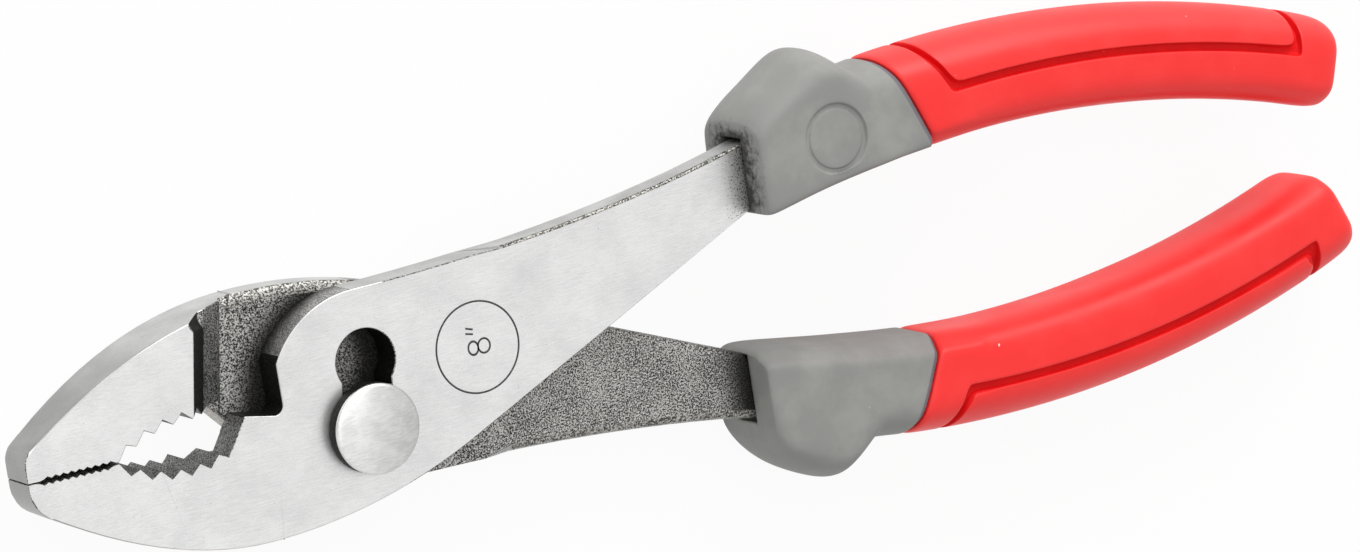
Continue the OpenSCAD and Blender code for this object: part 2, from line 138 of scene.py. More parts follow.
class Nodes:
    """Short calls for the node tree of one material."""

    def __init__(self, material: bpy.types.Material) -> None:
        """Starts from the material's own shader."""
        self.tree = material.node_tree
        self.shader = self.tree.nodes["Principled BSDF"]

    def add(self, kind: str, **settings: object) -> bpy.types.Node:
        """Adds a node.

        Args:
            kind: The node's type name.
            settings: Values for the node's own properties.

        Returns:
            The new node.
        """
        node = self.tree.nodes.new(kind)
        for name, value in settings.items():
            setattr(node, name, value)
        return node

    def feed(self, socket: bpy.types.NodeSocket, value: object) -> None:
        """Links a socket to an output, or sets it to a plain value.

        Args:
            socket: The input socket.
            value: The output or the plain value.
        """
        if isinstance(value, bpy.types.NodeSocket):
            self.tree.links.new(value, socket)
        else:
            socket.default_value = value

    def set(self, name: str, value: object) -> None:
        """Feeds one of the shader's inputs."""
        self.feed(self.shader.inputs[name], value)

    def place(self, stretch: Colour = (1.0, 1.0, 1.0), turn: float = 0.0) -> bpy.types.NodeSocket:
        """Reads the place on the object.

        Args:
            stretch: Scale of the pattern along each axis.
            turn: Turn of the pattern about Z, in degrees.

        Returns:
            The place's vector output.
        """
        where = self.add("ShaderNodeTexCoord").outputs["Object"]
        mapping = self.add("ShaderNodeMapping")
        self.feed(mapping.inputs["Vector"], where)
        mapping.inputs["Scale"].default_value = stretch
        mapping.inputs["Rotation"].default_value = (0.0, 0.0, math.radians(turn))
        return mapping.outputs["Vector"]

    def noise(
        self, size: float, detail: float = 2.0, rough: float = 0.5,
        place: bpy.types.NodeSocket | None = None
    ) -> bpy.types.NodeSocket:
        """Adds a noise.

        Args:
            size: Size of its largest features.
            detail: Octaves of smaller features.
            rough: Share of each octave that the next one keeps.
            place: Where the noise is read, or the object's own place.

        Returns:
            The noise's value, from 0 to 1.
        """
        node = self.add("ShaderNodeTexNoise")
        self.feed(node.inputs["Vector"], place or self.place())
        node.inputs["Scale"].default_value = 1.0 / (size * MM)
        node.inputs["Detail"].default_value = detail
        node.inputs["Roughness"].default_value = rough
        return node.outputs["Fac"]

    def band(
        self, value: bpy.types.NodeSocket, low: float, high: float, start: float = 0.0, end: float = 1.0
    ) -> bpy.types.NodeSocket:
        """Maps a value smoothly.

        Args:
            value: What is mapped.
            low: The value that gives start.
            high: The value that gives end.
            start: The result at low and before it.
            end: The result at high and after it.

        Returns:
            The mapped value.
        """
        node = self.add("ShaderNodeMapRange", interpolation_type="SMOOTHSTEP")
        self.feed(node.inputs["Value"], value)
        for name, number in (("From Min", low), ("From Max", high), ("To Min", start), ("To Max", end)):
            node.inputs[name].default_value = number
        return node.outputs["Result"]

    def times(self, a: bpy.types.NodeSocket, b: object) -> bpy.types.NodeSocket:
        """Returns the product of two values."""
        return self.sum_up("MULTIPLY", a, b)

    def plus(self, a: bpy.types.NodeSocket, b: object) -> bpy.types.NodeSocket:
        """Returns the sum of two values."""
        return self.sum_up("ADD", a, b)

    def weigh(self, a: bpy.types.NodeSocket, b: bpy.types.NodeSocket, shares: Span) -> bpy.types.NodeSocket:
        """Returns the sum of two values, each with its weight."""
        return self.plus(self.times(a, shares[0]), self.times(b, shares[1]))

    def sum_up(self, operation: str, a: bpy.types.NodeSocket, b: object) -> bpy.types.NodeSocket:
        """Adds an arithmetic node.

        Args:
            operation: What the node does.
            a: Its first value.
            b: Its second value.

        Returns:
            The node's result.
        """
        node = self.add("ShaderNodeMath", operation=operation)
        self.feed(node.inputs[0], a)
        self.feed(node.inputs[1], b)
        return node.outputs["Value"]

    def blend(self, share: object, low: object, high: object) -> bpy.types.NodeSocket:
        """Mixes two colours.

        Args:
            share: How much of high is in the mix, a value or an output.
            low: The colour at 0.
            high: The colour at 1.

        Returns:
            The mixed colour.
        """
        node = self.add("ShaderNodeMix", data_type="RGBA")
        self.feed(node.inputs["Factor"], share)
        for name, colour in (("A", low), ("B", high)):
            socket = next(s for s in node.inputs if s.name == name and s.type == "RGBA")
            self.feed(socket, (*colour, 1.0) if isinstance(colour, tuple) else colour)
        return next(s for s in node.outputs if s.type == "RGBA")

    def split(self) -> bpy.types.NodeSocketCollection:
        """Splits the place on the object.

        Returns:
            Its X, Y and Z as outputs.
        """
        node = self.add("ShaderNodeSeparateXYZ")
        self.feed(node.inputs["Vector"], self.place())
        return node.outputs

    def painted(self, name: str) -> bpy.types.NodeSocket:
        """Returns the value of a mesh attribute."""
        return self.add("ShaderNodeAttribute", attribute_name=name).outputs["Fac"]

    def along(self, span: Span, start: float, end: float) -> bpy.types.NodeSocket:
        """Maps the distance from the pivot along X.

        Args:
            span: Distances that give start and end.
            start: The result at the first distance and before it.
            end: The result at the second distance and after it.

        Returns:
            The mapped value.
        """
        first, last = (DATUM.place(x, 0.0, 0.0).x for x in span)
        return self.band(self.split()["X"], first, last, start, end)

    def around(
        self, middle: tuple[float, float], radii: Span, start: float, end: float
    ) -> bpy.types.NodeSocket:
        """Maps the distance from an axis along Z.

        Args:
            middle: Place of the axis in the drawing.
            radii: Distances that give start and end.
            start: The result at the first distance and nearer.
            end: The result at the second distance and farther.

        Returns:
            The mapped value.
        """
        axis = DATUM.place(*middle, 0.0)
        node = self.add("ShaderNodeVectorMath", operation="DISTANCE")
        self.feed(node.inputs[0], self.place((1.0, 1.0, 0.0)))
        node.inputs[1].default_value = (axis.x, axis.y, 0.0)
        return self.band(node.outputs["Value"], radii[0] * MM, radii[1] * MM, start, end)

    def roughen(self, pattern: bpy.types.NodeSocket, rough: float, span: Span) -> None:
        """Sets the roughness.

        Args:
            pattern: The noise that it follows.
            rough: The roughness itself.
            span: What is added to it where the noise is low and where it is high.
        """
        self.set("Roughness", self.band(pattern, *NOISE_SPAN, rough + span[0], rough + span[1]))

    def bump(self, height: bpy.types.NodeSocket, depth: float) -> bpy.types.NodeSocket:
        """Adds a bump.

        Args:
            height: The relief, from 0 to 1.
            depth: How deep the relief is.

        Returns:
            The bumped normal.
        """
        node = self.add("ShaderNodeBump")
        self.feed(node.inputs["Height"], height)
        node.inputs["Distance"].default_value = depth * MM
        return node.outputs["Normal"]


@dataclass(frozen=True)
class Finish:
    """A surface finish.

    Args:
        name: Name of its material.
    """

    name: str

    def material(self) -> bpy.types.Material:
        """Makes the finish's material, once.

        Returns:
            The material.
        """
        found = bpy.data.materials.get(self.name)
        if found is None:
            found = bpy.data.materials.new(self.name)
            found.use_nodes = True
            self.dress(Nodes(found))
        return found

    def dress(self, nodes: Nodes) -> None:
        """Builds the finish's nodes."""
        raise NotImplementedError


# Near black that stands for oil on steel and for painted shade on it
OIL_AND_SHADE: Colour = (0.012, 0.012, 0.011)


@dataclass(frozen=True)
class GroundSteel(Finish):
    """Steel ground bright, with fine lines along the tool, a fine mottle and small dark pits.

    Args:
        bright: Colour of the ground tops.
        dull: Colour in the lines.
        pit: Colour in the pits.
        rough: Roughness of the ground face.
        rough_span: What is added to it in the lines and between them.
        line: Width of a grinding line.
        line_stretch: How many times longer than wide a line is.
        line_turn: Direction of the lines from the X axis, in degrees.
        line_depth: Depth of a line.
        grain: Size of the mottle's grain.
        worked: Weights of the lines and of the grain in the tone.
        cloud: Size of the slow mottle.
        cloud_share: Weight of the slow mottle.
        tone: Tones that are dull and bright.
        pit_size: Size of a pit.
        pit_cut: Values of the pits' noise that are clear and pitted.
        pitted: Distances from the pivot between which the pits of the tang begin to crowd.
        crowding: How much they crowd.
    """

    bright: Colour = (0.79, 0.79, 0.785)
    dull: Colour = (0.61, 0.61, 0.61)
    pit: Colour = (0.10, 0.095, 0.09)
    rough: float = 0.36
    rough_span: Span = (0.06, -0.04)
    line: float = 0.1
    line_stretch: float = 24.0
    line_turn: float = -4.0
    line_depth: float = 0.005
    grain: float = 0.2
    worked: Span = (0.65, 0.35)
    cloud: float = 6.0
    cloud_share: float = 0.4
    tone: Span = (0.5, 0.9)
    pit_size: float = 0.24
    pit_cut: Span = (0.715, 0.775)
    pitted: Span = (54.0, 59.5)
    crowding: float = 0.18

    def dress(self, nodes: Nodes) -> None:
        """Builds lines, a fine and a slow mottle, and pits.

        Args:
            nodes: The material's nodes.
        """
        along = nodes.place((1.0 / self.line_stretch, 1.0, 1.0), self.line_turn)
        lines = nodes.noise(self.line, detail=3.0, rough=0.6, place=along)
        fine = nodes.noise(self.grain, detail=3.0, rough=0.65)
        cloud = nodes.noise(self.cloud, detail=4.0, rough=0.6)
        tone = nodes.plus(nodes.weigh(lines, fine, self.worked), nodes.times(cloud, self.cloud_share))
        steel = nodes.blend(nodes.band(tone, *self.tone), self.dull, self.bright)
        pits = nodes.noise(self.pit_size, detail=2.0, rough=0.6)
        crowd = nodes.along(self.pitted, 0.0, self.crowding)
        pitted = nodes.band(nodes.plus(pits, crowd), *self.pit_cut)
        nodes.set("Base Color", nodes.blend(pitted, steel, self.pit))
        nodes.set("Metallic", 1.0)
        nodes.roughen(lines, self.rough, self.rough_span)
        nodes.set("Normal", nodes.bump(lines, self.line_depth))


@dataclass(frozen=True)
class SatinSteel(Finish):
    """Steel polished along an edge, with a soft even sheen and, where the finish has it, painted shade
    towards the nose.

    Args:
        bright: Colour of the polished steel.
        dull: Colour where it is duller.
        rough: Its roughness.
        painted_shade: How much painted shade darkens it at the nose, from 0 to 1.
        painted_shade_x: Distances from the pivot between which the painted shade of the nose ends.
        rough_span: What is added to the roughness where it is dull and where it is bright.
        grain: Size of a grain.
        relief: Depth of the grain.
        cloud: Size of the slow mottle.
        shares: Weights of the grain and of the slow mottle in the tone.
        tone: Tones that are dull and bright.
    """

    bright: Colour = (0.65, 0.65, 0.64)
    dull: Colour = (0.48, 0.48, 0.475)
    rough: float = 0.36
    painted_shade: float = 0.0
    painted_shade_x: Span = (-44.0, -22.0)
    rough_span: Span = (-0.03, 0.05)
    grain: float = 0.2
    relief: float = 0.01
    cloud: float = 5.0
    shares: Span = (0.5, 0.7)
    tone: Span = (0.4, 0.8)

    def dress(self, nodes: Nodes) -> None:
        """Builds a slow mottle with fine grain, with painted shade towards the nose.

        Args:
            nodes: The material's nodes.
        """
        grain = nodes.noise(self.grain, detail=2.0, rough=0.6)
        cloud = nodes.noise(self.cloud, detail=2.0, rough=0.5)
        tone = nodes.band(nodes.weigh(grain, cloud, self.shares), *self.tone)
        steel = nodes.blend(tone, self.dull, self.bright)
        # Painted shade: the band darkens towards the nose
        if self.painted_shade:
            steel = nodes.blend(nodes.along(self.painted_shade_x, self.painted_shade, 0.0), steel, OIL_AND_SHADE)
        nodes.set("Base Color", steel)
        nodes.set("Metallic", 1.0)
        nodes.roughen(cloud, self.rough, self.rough_span)
        nodes.set("Normal", nodes.bump(grain, self.relief))


@dataclass(frozen=True)
class ForgedSteel(Finish):
    """Steel as it left the forge and the shot blast: a dark grain with bright specks.

    Args:
        dark: Colour in the hollows of the grain.
        light: Colour on its tops.
        grain: Size of a grain.
        relief: Depth of the grain.
        rough: Its roughness.
        mid_plane_shade: How dark painted shade makes it at the joint's mid-plane, from 0 to 1.
        mid_plane_shade_h: Distance from the mid-plane at which the painted shade ends.
        oil_and_shade: How dark oil and painted shade make it round the slot, and painted shade in the lower
            grip's mouth, from 0 to 1.
        slot_mid: Place of the slot's middle in the drawing.
        oil_and_shade_r: Radii about the slot's middle between which the oil and painted shade end.
        lit_spot: Place of the lit side of the slot, which the oil and painted shade leave lighter.
        lit_spot_r: Radii about that spot between which the oil and painted shade begin.
        lit_spot_share: Share of the oil and painted shade that is left on that spot.
        mouth: Distances from the pivot between which the painted shade of the mouth begins.
        cloud: Size of the slow mottle, in grains.
        cloud_share: Weight of the slow mottle.
        tone: Tones that are dark and light.
        metal: How metallic it is, from 0 to 1.
    """

    dark: Colour = (0.018, 0.017, 0.016)
    light: Colour = (0.56, 0.55, 0.53)
    grain: float = 0.22
    relief: float = 0.06
    rough: float = 0.5
    mid_plane_shade: float = 0.0
    mid_plane_shade_h: float = 4.0
    oil_and_shade: float = 0.0
    slot_mid: tuple[float, float] = (0.4, 0.7)
    oil_and_shade_r: Span = (13.6, 17.6)
    lit_spot: tuple[float, float] = (-3.6, 4.6)
    lit_spot_r: Span = (3.4, 7.2)
    lit_spot_share: float = 0.12
    mouth: Span = (53.0, 58.5)
    cloud: float = 20.0
    cloud_share: float = 0.1
    tone: Span = (0.465, 0.66)
    metal: float = 0.85

    def dress(self, nodes: Nodes) -> None:
        """Builds a grain on a slow mottle, with painted shade near the mid-plane, and oil and painted shade
        round the slot and in the mouth, where the finish has them.

        Args:
            nodes: The material's nodes.
        """
        coarse = nodes.noise(self.grain, detail=2.0, rough=0.75)
        cloud = nodes.noise(self.grain * self.cloud, detail=2.0)
        tone = nodes.plus(coarse, nodes.times(cloud, self.cloud_share))
        steel = nodes.blend(nodes.band(tone, *self.tone), self.dark, self.light)
        # Painted shade: darker towards the joint's mid-plane, where the halves overlap
        if self.mid_plane_shade:
            height = nodes.sum_up("ABSOLUTE", nodes.plus(nodes.split()["Z"], -DATUM.pivot.z), 0.0)
            steel = nodes.blend(nodes.band(height, 0.0, self.mid_plane_shade_h * MM, self.mid_plane_shade, 0.0), steel, OIL_AND_SHADE)
        # Oil and painted shade darken the steel round the slot, less on its lit side, and painted shade
        # darkens it in the mouth
        if self.oil_and_shade:
            pool = nodes.around(self.slot_mid, self.oil_and_shade_r, self.oil_and_shade, 0.0)
            lit_spot = nodes.around(self.lit_spot, self.lit_spot_r, self.lit_spot_share, 1.0)
            steel = nodes.blend(nodes.times(pool, lit_spot), steel, OIL_AND_SHADE)
            steel = nodes.blend(nodes.along(self.mouth, 0.0, self.oil_and_shade), steel, OIL_AND_SHADE)
        nodes.set("Base Color", steel)
        nodes.set("Metallic", self.metal)
        nodes.set("Roughness", self.rough)
        nodes.set("Normal", nodes.bump(coarse, self.relief))


@dataclass(frozen=True)
class TurnedSteel(Finish):
    """Steel of the bolt: brushed one way over the dome, with a worn mottle and painted shade on the side away
    from the jaws.

    Args:
        bright: Colour of the worn tops.
        dull: Colour in the brushed lines.
        rough: Its roughness.
        line: Width of a brushed line.
        turn: Direction of the lines from the X axis, in degrees.
        painted_shade: How much painted shade darkens the side away from the jaws, from 0 to 1.
        painted_shade_x: Distances from the pivot between which the painted shade grows.
        rough_span: What is added to the roughness in the lines and between them.
        line_stretch: How many times longer than wide a line is.
        line_depth: Depth of a line.
        cloud: Size of the mottle.
        shares: Weights of the lines and of the mottle in the tone.
        tone: Tones that are dull and bright.
    """

    bright: Colour = (0.82, 0.82, 0.81)
    dull: Colour = (0.63, 0.63, 0.625)
    rough: float = 0.38
    line: float = 0.16
    turn: float = 70.0
    painted_shade: float = 0.28
    painted_shade_x: Span = (-6.0, 6.0)
    rough_span: Span = (0.06, -0.06)
    line_stretch: float = 12.0
    line_depth: float = 0.015
    cloud: float = 2.2
    shares: Span = (0.8, 0.6)
    tone: Span = (0.5, 0.9)

    def dress(self, nodes: Nodes) -> None:
        """Builds brushed lines over a mottle, with painted shade away from the jaws.

        Args:
            nodes: The material's nodes.
        """
        along = nodes.place((1.0 / self.line_stretch, 1.0, 1.0), -self.turn)
        lines = nodes.noise(self.line, detail=3.0, rough=0.65, place=along)
        cloud = nodes.noise(self.cloud, detail=4.0, rough=0.6)
        tone = nodes.band(nodes.weigh(lines, cloud, self.shares), *self.tone)
        steel = nodes.blend(tone, self.dull, self.bright)
        # Painted shade: the head darkens on the side away from the jaws
        nodes.set("Base Color", nodes.blend(nodes.along(self.painted_shade_x, 0.0, self.painted_shade), steel, OIL_AND_SHADE))
        nodes.set("Metallic", 1.0)
        nodes.roughen(lines, self.rough, self.rough_span)
        nodes.set("Normal", nodes.bump(lines, self.line_depth))


@dataclass(frozen=True)
class Moulding(Finish):
    """Satin moulded plastic with a fine skin, a slow shift of tone and specks of dust.

    Args:
        base: Colour of the plastic.
        pale: Colour where the skin is rubbed.
        grime_and_shade: Colour of the dirt and painted shade where the attribute of that name is painted.
        dust: Colour of the specks.
        dust_cut: Value of the specks' noise at which a speck begins, near 1 for few specks.
        rough: Its roughness.
        skin: Depth of the moulded skin.
        gloss: Strength of its reflections, 0.5 for plain plastic.
        rough_span: What is added to the roughness where it is plain and where it is rubbed.
        cloud: Size of the slow shift of tone.
        tone: Tones that are plain and rubbed.
        dust_size: Size of a speck.
        dust_edge: Width of a speck's edge, as a part of its noise.
        smear: Size of a dirty smear.
        smear_share: Weight of the smears beside the painted dirt and shade.
        smear_cut: Sums of the two that are clean and fully darkened.
        skin_size: Size of the skin's grain.
    """

    base: Colour = (0.27, 0.271, 0.26)
    pale: Colour = (0.32, 0.321, 0.305)
    grime_and_shade: Colour = (0.02, 0.02, 0.018)
    dust: Colour = (0.45, 0.44, 0.42)
    dust_cut: float = 0.84
    rough: float = 0.62
    skin: float = 0.012
    gloss: float = 0.3
    rough_span: Span = (-0.04, 0.06)
    cloud: float = 7.0
    tone: Span = (0.4, 0.7)
    dust_size: float = 0.9
    dust_edge: float = 0.03
    smear: float = 1.1
    smear_share: float = 0.9
    smear_cut: Span = (0.85, 1.25)
    skin_size: float = 0.3

    def dress(self, nodes: Nodes) -> None:
        """Builds tone, dust, dirt with painted shade, and skin.

        Args:
            nodes: The material's nodes.
        """
        cloud = nodes.noise(self.cloud, detail=4.0, rough=0.6)
        plastic = nodes.blend(nodes.band(cloud, *self.tone), self.base, self.pale)
        specks = nodes.noise(self.dust_size, detail=1.0)
        dust = nodes.band(specks, self.dust_cut, self.dust_cut + self.dust_edge)
        dusty = nodes.blend(dust, plastic, self.dust)
        smears = nodes.times(nodes.noise(self.smear, detail=4.0, rough=0.7), self.smear_share)
        # Dirt and painted shade where the attribute is painted
        grime_and_shade_level = nodes.band(nodes.plus(nodes.painted("grime_and_shade"), smears), *self.smear_cut)
        nodes.set("Base Color", nodes.blend(grime_and_shade_level, dusty, self.grime_and_shade))
        nodes.roughen(cloud, self.rough, self.rough_span)
        nodes.set("Specular IOR Level", self.gloss)
        nodes.set("Normal", nodes.bump(nodes.noise(self.skin_size), self.skin))


@dataclass(frozen=True)
class EtchedInk(Finish):
    """The dark etch of the size mark.

    Args:
        dark: Colour of a full stroke.
        worn: Colour where the stroke is worn.
        rough: Its roughness.
        grain: Size of a worn spot.
        tone: Values of the spots' noise that are full and worn.
    """

    dark: Colour = (0.02, 0.02, 0.02)
    worn: Colour = (0.09, 0.09, 0.09)
    rough: float = 0.6
    grain: float = 0.3
    tone: Span = (0.45, 0.75)

    def dress(self, nodes: Nodes) -> None:
        """Builds a worn stroke.

        Args:
            nodes: The material's nodes.
        """
        spots = nodes.band(nodes.noise(self.grain), *self.tone)
        nodes.set("Base Color", nodes.blend(spots, self.dark, self.worn))
        nodes.set("Roughness", self.rough)


# Steel of the halves: their faces, the edges and backs that were worked after forging, what was left
# as forged, and the near black that paints the shade in the slot, the notch and the jaw's step
GROUND = GroundSteel("ground_steel")
# Satin steel carries painted shade towards the nose
SATIN = SatinSteel("satin_steel", painted_shade=0.4)
POLISHED = SatinSteel("polished_steel", (0.62, 0.62, 0.61), (0.44, 0.44, 0.435), rough=0.42)
# Blasted steel carries oil and painted shade round the slot, and painted shade in the lower grip's mouth
FORGED = ForgedSteel("blasted_steel", oil_and_shade=0.93)
# Trimmed steel carries painted shade towards the joint's mid-plane
TRIMMED = ForgedSteel("trimmed_steel", (0.13, 0.13, 0.125), (0.60, 0.595, 0.58), relief=0.05, rough=0.44,
                      mid_plane_shade=0.8)
SCALED = ForgedSteel("scaled_steel", (0.045, 0.044, 0.04), (0.47, 0.46, 0.43), grain=0.3, rough=0.45)
WORN = ForgedSteel("worn_steel", (0.22, 0.21, 0.19), (0.66, 0.63, 0.58), grain=0.26, relief=0.05, rough=0.45)
EDGED = ForgedSteel("edged_steel", (0.045, 0.043, 0.04), (0.45, 0.44, 0.41), grain=0.24)
TOOTHED = ForgedSteel("toothed_steel", (0.02, 0.02, 0.02), (0.38, 0.38, 0.37), grain=0.2, relief=0.05)
# Near black of painted shade, on the walls of the slot and the notch, the jaw's step and the bolt under its
# head
SHADE_BLACK = ForgedSteel("shade_black_steel", (0.004, 0.004, 0.004), (0.03, 0.03, 0.028), grain=0.3, relief=0.05,
                      rough=0.6)
# Bolt and nut
# The bolt's brushed steel carries painted shade on the side away from the jaws
BRUSHED = TurnedSteel("brushed_bolt")
PLAIN_NUT = TurnedSteel("plain_nut", (0.46, 0.46, 0.45), (0.24, 0.24, 0.235), rough=0.42, line=0.5, turn=0.0,
                        painted_shade=0.0)
# Grips and size mark
GREY = Moulding("collar_grey")
# A darker, bluer copy of the collar's grey: painted shade on the bevel at the seam
SHADED_LIP_GREY = Moulding("lip_grey_shaded", (0.165, 0.165, 0.185), (0.21, 0.21, 0.23))
RED = Moulding("cover_red", (0.95, 0.026, 0.024), (0.97, 0.036, 0.033), (0.35, 0.01, 0.01),
               (0.98, 0.62, 0.60), dust_cut=0.82, rough=0.45, skin=0.01, gloss=0.45)
# A darker, deeper copy of the cover's red: painted shade in the groove
SHADED_GROOVE_RED = Moulding("groove_red_shaded", (0.74, 0.004, 0.006), (0.80, 0.008, 0.008), (0.35, 0.01, 0.01),
                      (0.90, 0.30, 0.30), rough=0.6, skin=0.01, gloss=0.2)
INK = EtchedInk("etched_ink")


def make_piece(
    name: str, shape: bmesh.types.BMesh, finishes: Sequence[Finish], body: Body, slot: Slot,
    replaced: str = ""
) -> bpy.types.Object:
    """Turns a finished bmesh into a piece of the object.

    Args:
        name: Name of the piece.
        shape: Its mesh, in place, which is freed.
        finishes: Its finishes, in the order of its faces' material numbers.
        body: The body that it rides on.
        slot: The record's slot that its finish comes from; it is not used.
        replaced: The node that it stands for, if any.

    Returns:
        The piece's object.
    """
    mesh = bpy.data.meshes.new(name)
    shape.to_mesh(mesh)
    shape.free()
    for finish in finishes:
        mesh.materials.append(finish.material())
    mesh.shade_smooth()
    piece = bpy.data.objects.new(name, mesh)
    bpy.context.scene.collection.objects.link(piece)
    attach(piece, body.value)
    if replaced:
        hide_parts(replaced)
    LOG.info("%s: %d faces on body %s", name, len(mesh.polygons), body.value)
    return piece


def round_off(
    shape: bmesh.types.BMesh, edges: Sequence[bmesh.types.BMEdge], width: float, steps: int
) -> list[bmesh.types.BMFace]:
    """Rounds edges of a bmesh off.

    Args:
        shape: The mesh.
        edges: The edges to round.
        width: Width of the rounding.
        steps: Faces across it.

    Returns:
        The new faces.
    """
    made = bmesh.ops.bevel(shape, geom=list(edges), offset=width * MM, offset_type="OFFSET", segments=steps,
                           profile=0.5, affect="EDGES", clamp_overlap=False, loop_slide=False, material=-1)
    return made["faces"]


def turn_profile(
    shape: bmesh.types.BMesh, profile: Sequence[tuple[float, float]], centre: Vector, steps: int
) -> None:
    """Turns a profile into a solid of revolution about an axis along Z.

    Args:
        shape: The mesh that takes it.
        profile: Radius and height of each corner, from one end of the axis to the other.
        centre: The axis's place at height 0, in metres.
        steps: Faces round it.
    """
    corners = [shape.verts.new(centre + Vector((radius, 0.0, height)) * MM) for radius, height in profile]
    edges = [shape.edges.new(pair) for pair in zip(corners, corners[1:])]
    bmesh.ops.spin(shape, geom=corners + edges, cent=centre, axis=(0.0, 0.0, 1.0), angle=2.0 * math.pi,
                   steps=steps, use_merge=True)
    bmesh.ops.remove_doubles(shape, verts=shape.verts[:], dist=WELD)
    bmesh.ops.recalc_face_normals(shape, faces=shape.faces[:])


@dataclass
class SteelHalf:
    """One forged half: a jaw, a plate and a tang.

    Args:
        node: The node whose solid it dresses.
        body: The body that it rides on.
        side: The handle that its tang carries.
        nose_round: Rounding of the nose's outer corner.
        strip_round: Width of the rough bevel along the plate's back, on the joint's side.
        tang_round: Rounding of the tang's forged edges.
        edge_round: Rounding of the other edges.
        tooth_round: Rounding of the teeth.
        steps: Faces across each of these roundings, in this order.
        nose_x: Distance from the pivot past which edges belong to the nose's end.
        nose_h: Least distance of the nose's outer corner from the closing line.
        strip_x: Distances from the pivot between which the rough bevel runs.
        strip_h: Least distance of the rough bevel from the closing line.
        tang_from: Distance from the pivot where the tang's own edges begin.
        step_from: Distance from the pivot to the foot of the step.
        step_share: Least part of a normal along X on the step's steep face.
        foot_share: The same for the step's foot and the scoop beside it.
        teeth_from: Distance from the pivot to the last coarse tooth.
        teeth_to: Distance from the pivot at which the worn facet behind the teeth begins.
        teeth_depth: Height of the band about the closing line that holds all teeth.
        tooth_share: Least part of a normal along Y on a tooth.
        polish_from: Distance from the pivot at which the tang's edges are no longer satin.
        bright_from: Distance from the pivot at which the polished back of the tang begins.
        notch_x: Distance from the pivot past which walls belong to the notch.
        notch_y: Least distance of the notch's walls from the closing line.
        upright_h: Least difference in height between the ends of an upright edge of the nose.
        mid_h: Greatest distance from the mid-plane of an edge that lies in it.
        flat: Greatest angle between faces that are one, in degrees.
        sharp: Least angle of an edge that is rounded, in degrees.
        sliver: Area below which a face is a sliver, whose edges are left alone.
        outer_z: Least distance of a ground face from the mid-plane.
        flat_share: Least part of a normal along Z on a ground face.
        steep_share: Greatest part of a normal along Z on a wall.
        end_share: Least part of a normal along X on the nose's end.
        slot_mid: Place of the slot's middle in the drawing.
        slot_r: Radius about the slot's middle that holds the whole slot.
        finishes: Every finish that its faces have.
    """

    node: str
    body: Body
    side: Side
    nose_round: float
    strip_round: float = 1.35
    tang_round: float = 0.7
    edge_round: float = 0.15
    tooth_round: float = 0.08
    steps: tuple[int, ...] = (4, 1, 2, 2, 1)
    nose_x: float = 46.0
    nose_h: float = 2.0
    strip_x: tuple[float, float] = (-15.5, 6.0)
    strip_h: float = 8.0
    tang_from: float = 19.0
    step_from: float = 18.2
    step_share: float = 0.6
    foot_share: float = 0.25
    teeth_from: float = 17.5
    teeth_to: float = 21.0
    teeth_depth: float = 5.2
    tooth_share: float = 0.3
    polish_from: float = 4.0
    bright_from: float = 1.0
    notch_x: float = 11.0
    notch_y: float = 0.5
    upright_h: float = 1.0
    mid_h: float = 0.2
    flat: float = 0.1
    sharp: float = 32.0
    sliver: float = 0.01
    outer_z: float = 2.4
    flat_share: float = 0.975
    steep_share: float = 0.3
    end_share: float = 0.9
    slot_mid: tuple[float, float] = (0.4, 0.7)
    slot_r: float = 9.0
    finishes: tuple[Finish, ...] = (
        GROUND, SATIN, TRIMMED, POLISHED, FORGED, SCALED, WORN, EDGED, TOOTHED, SHADE_BLACK)

    def build(self) -> bpy.types.Object:
        """Builds the piece.

        Returns:
            The dressed half.
        """
        shape = bmesh.new()
        shape.from_mesh(frame["nodes"][self.node].data)
        bmesh.ops.remove_doubles(shape, verts=shape.verts[:], dist=WELD)
        bmesh.ops.dissolve_degenerate(shape, edges=shape.edges[:], dist=SPECK)
        bmesh.ops.dissolve_limit(shape, angle_limit=math.radians(self.flat), verts=shape.verts[:],
                                 edges=shape.edges[:], use_dissolve_boundaries=False)
        self.soften(shape)
        self.sort_faces(shape)
        piece = make_piece(self.node + "_body", shape, self.finishes, self.body, Slot.FORGED, self.node)
        piece.modifiers.new("face_normals", "WEIGHTED_NORMAL").keep_sharp = True
        return piece

    def turned(self, vector: Vector) -> Vector:
        """Returns a vector of the drawing as on the half that carries the upper handle."""
        return Vector((vector.x, vector.y * self.side.value, vector.z * self.side.value))

    def soften(self, shape: bmesh.types.BMesh) -> None:
        """Rounds the edges, the nose first and the teeth last.

        Args:
            shape: The half's mesh.
        """
        rounded = shape.faces.layers.int.new("rounded")
        widths = (self.nose_round, self.strip_round, self.tang_round, self.edge_round, self.tooth_round)
        for width, steps in zip(widths, self.steps):
            edges = [edge for edge in shape.edges
                     if self.is_sharp(edge, rounded) and self.rounding(edge) == width]
            for face in round_off(shape, edges, width, steps):
                face[rounded] = 1
        shape.faces.layers.int.remove(rounded)

    def is_sharp(self, edge: bmesh.types.BMEdge, rounded: bmesh.types.BMLayerItem) -> bool:
        """Returns whether an edge is to be rounded.

        Args:
            edge: The edge.
            rounded: The layer that marks the faces of earlier roundings.

        Returns:
            True for a sharp edge that isn't inside an earlier rounding or beside a sliver.
        """
        if not edge.is_manifold or all(face[rounded] for face in edge.link_faces):
            return False
        if any(face.calc_area() < self.sliver * MM * MM for face in edge.link_faces):
            return False
        return edge.calc_face_angle() > math.radians(self.sharp)

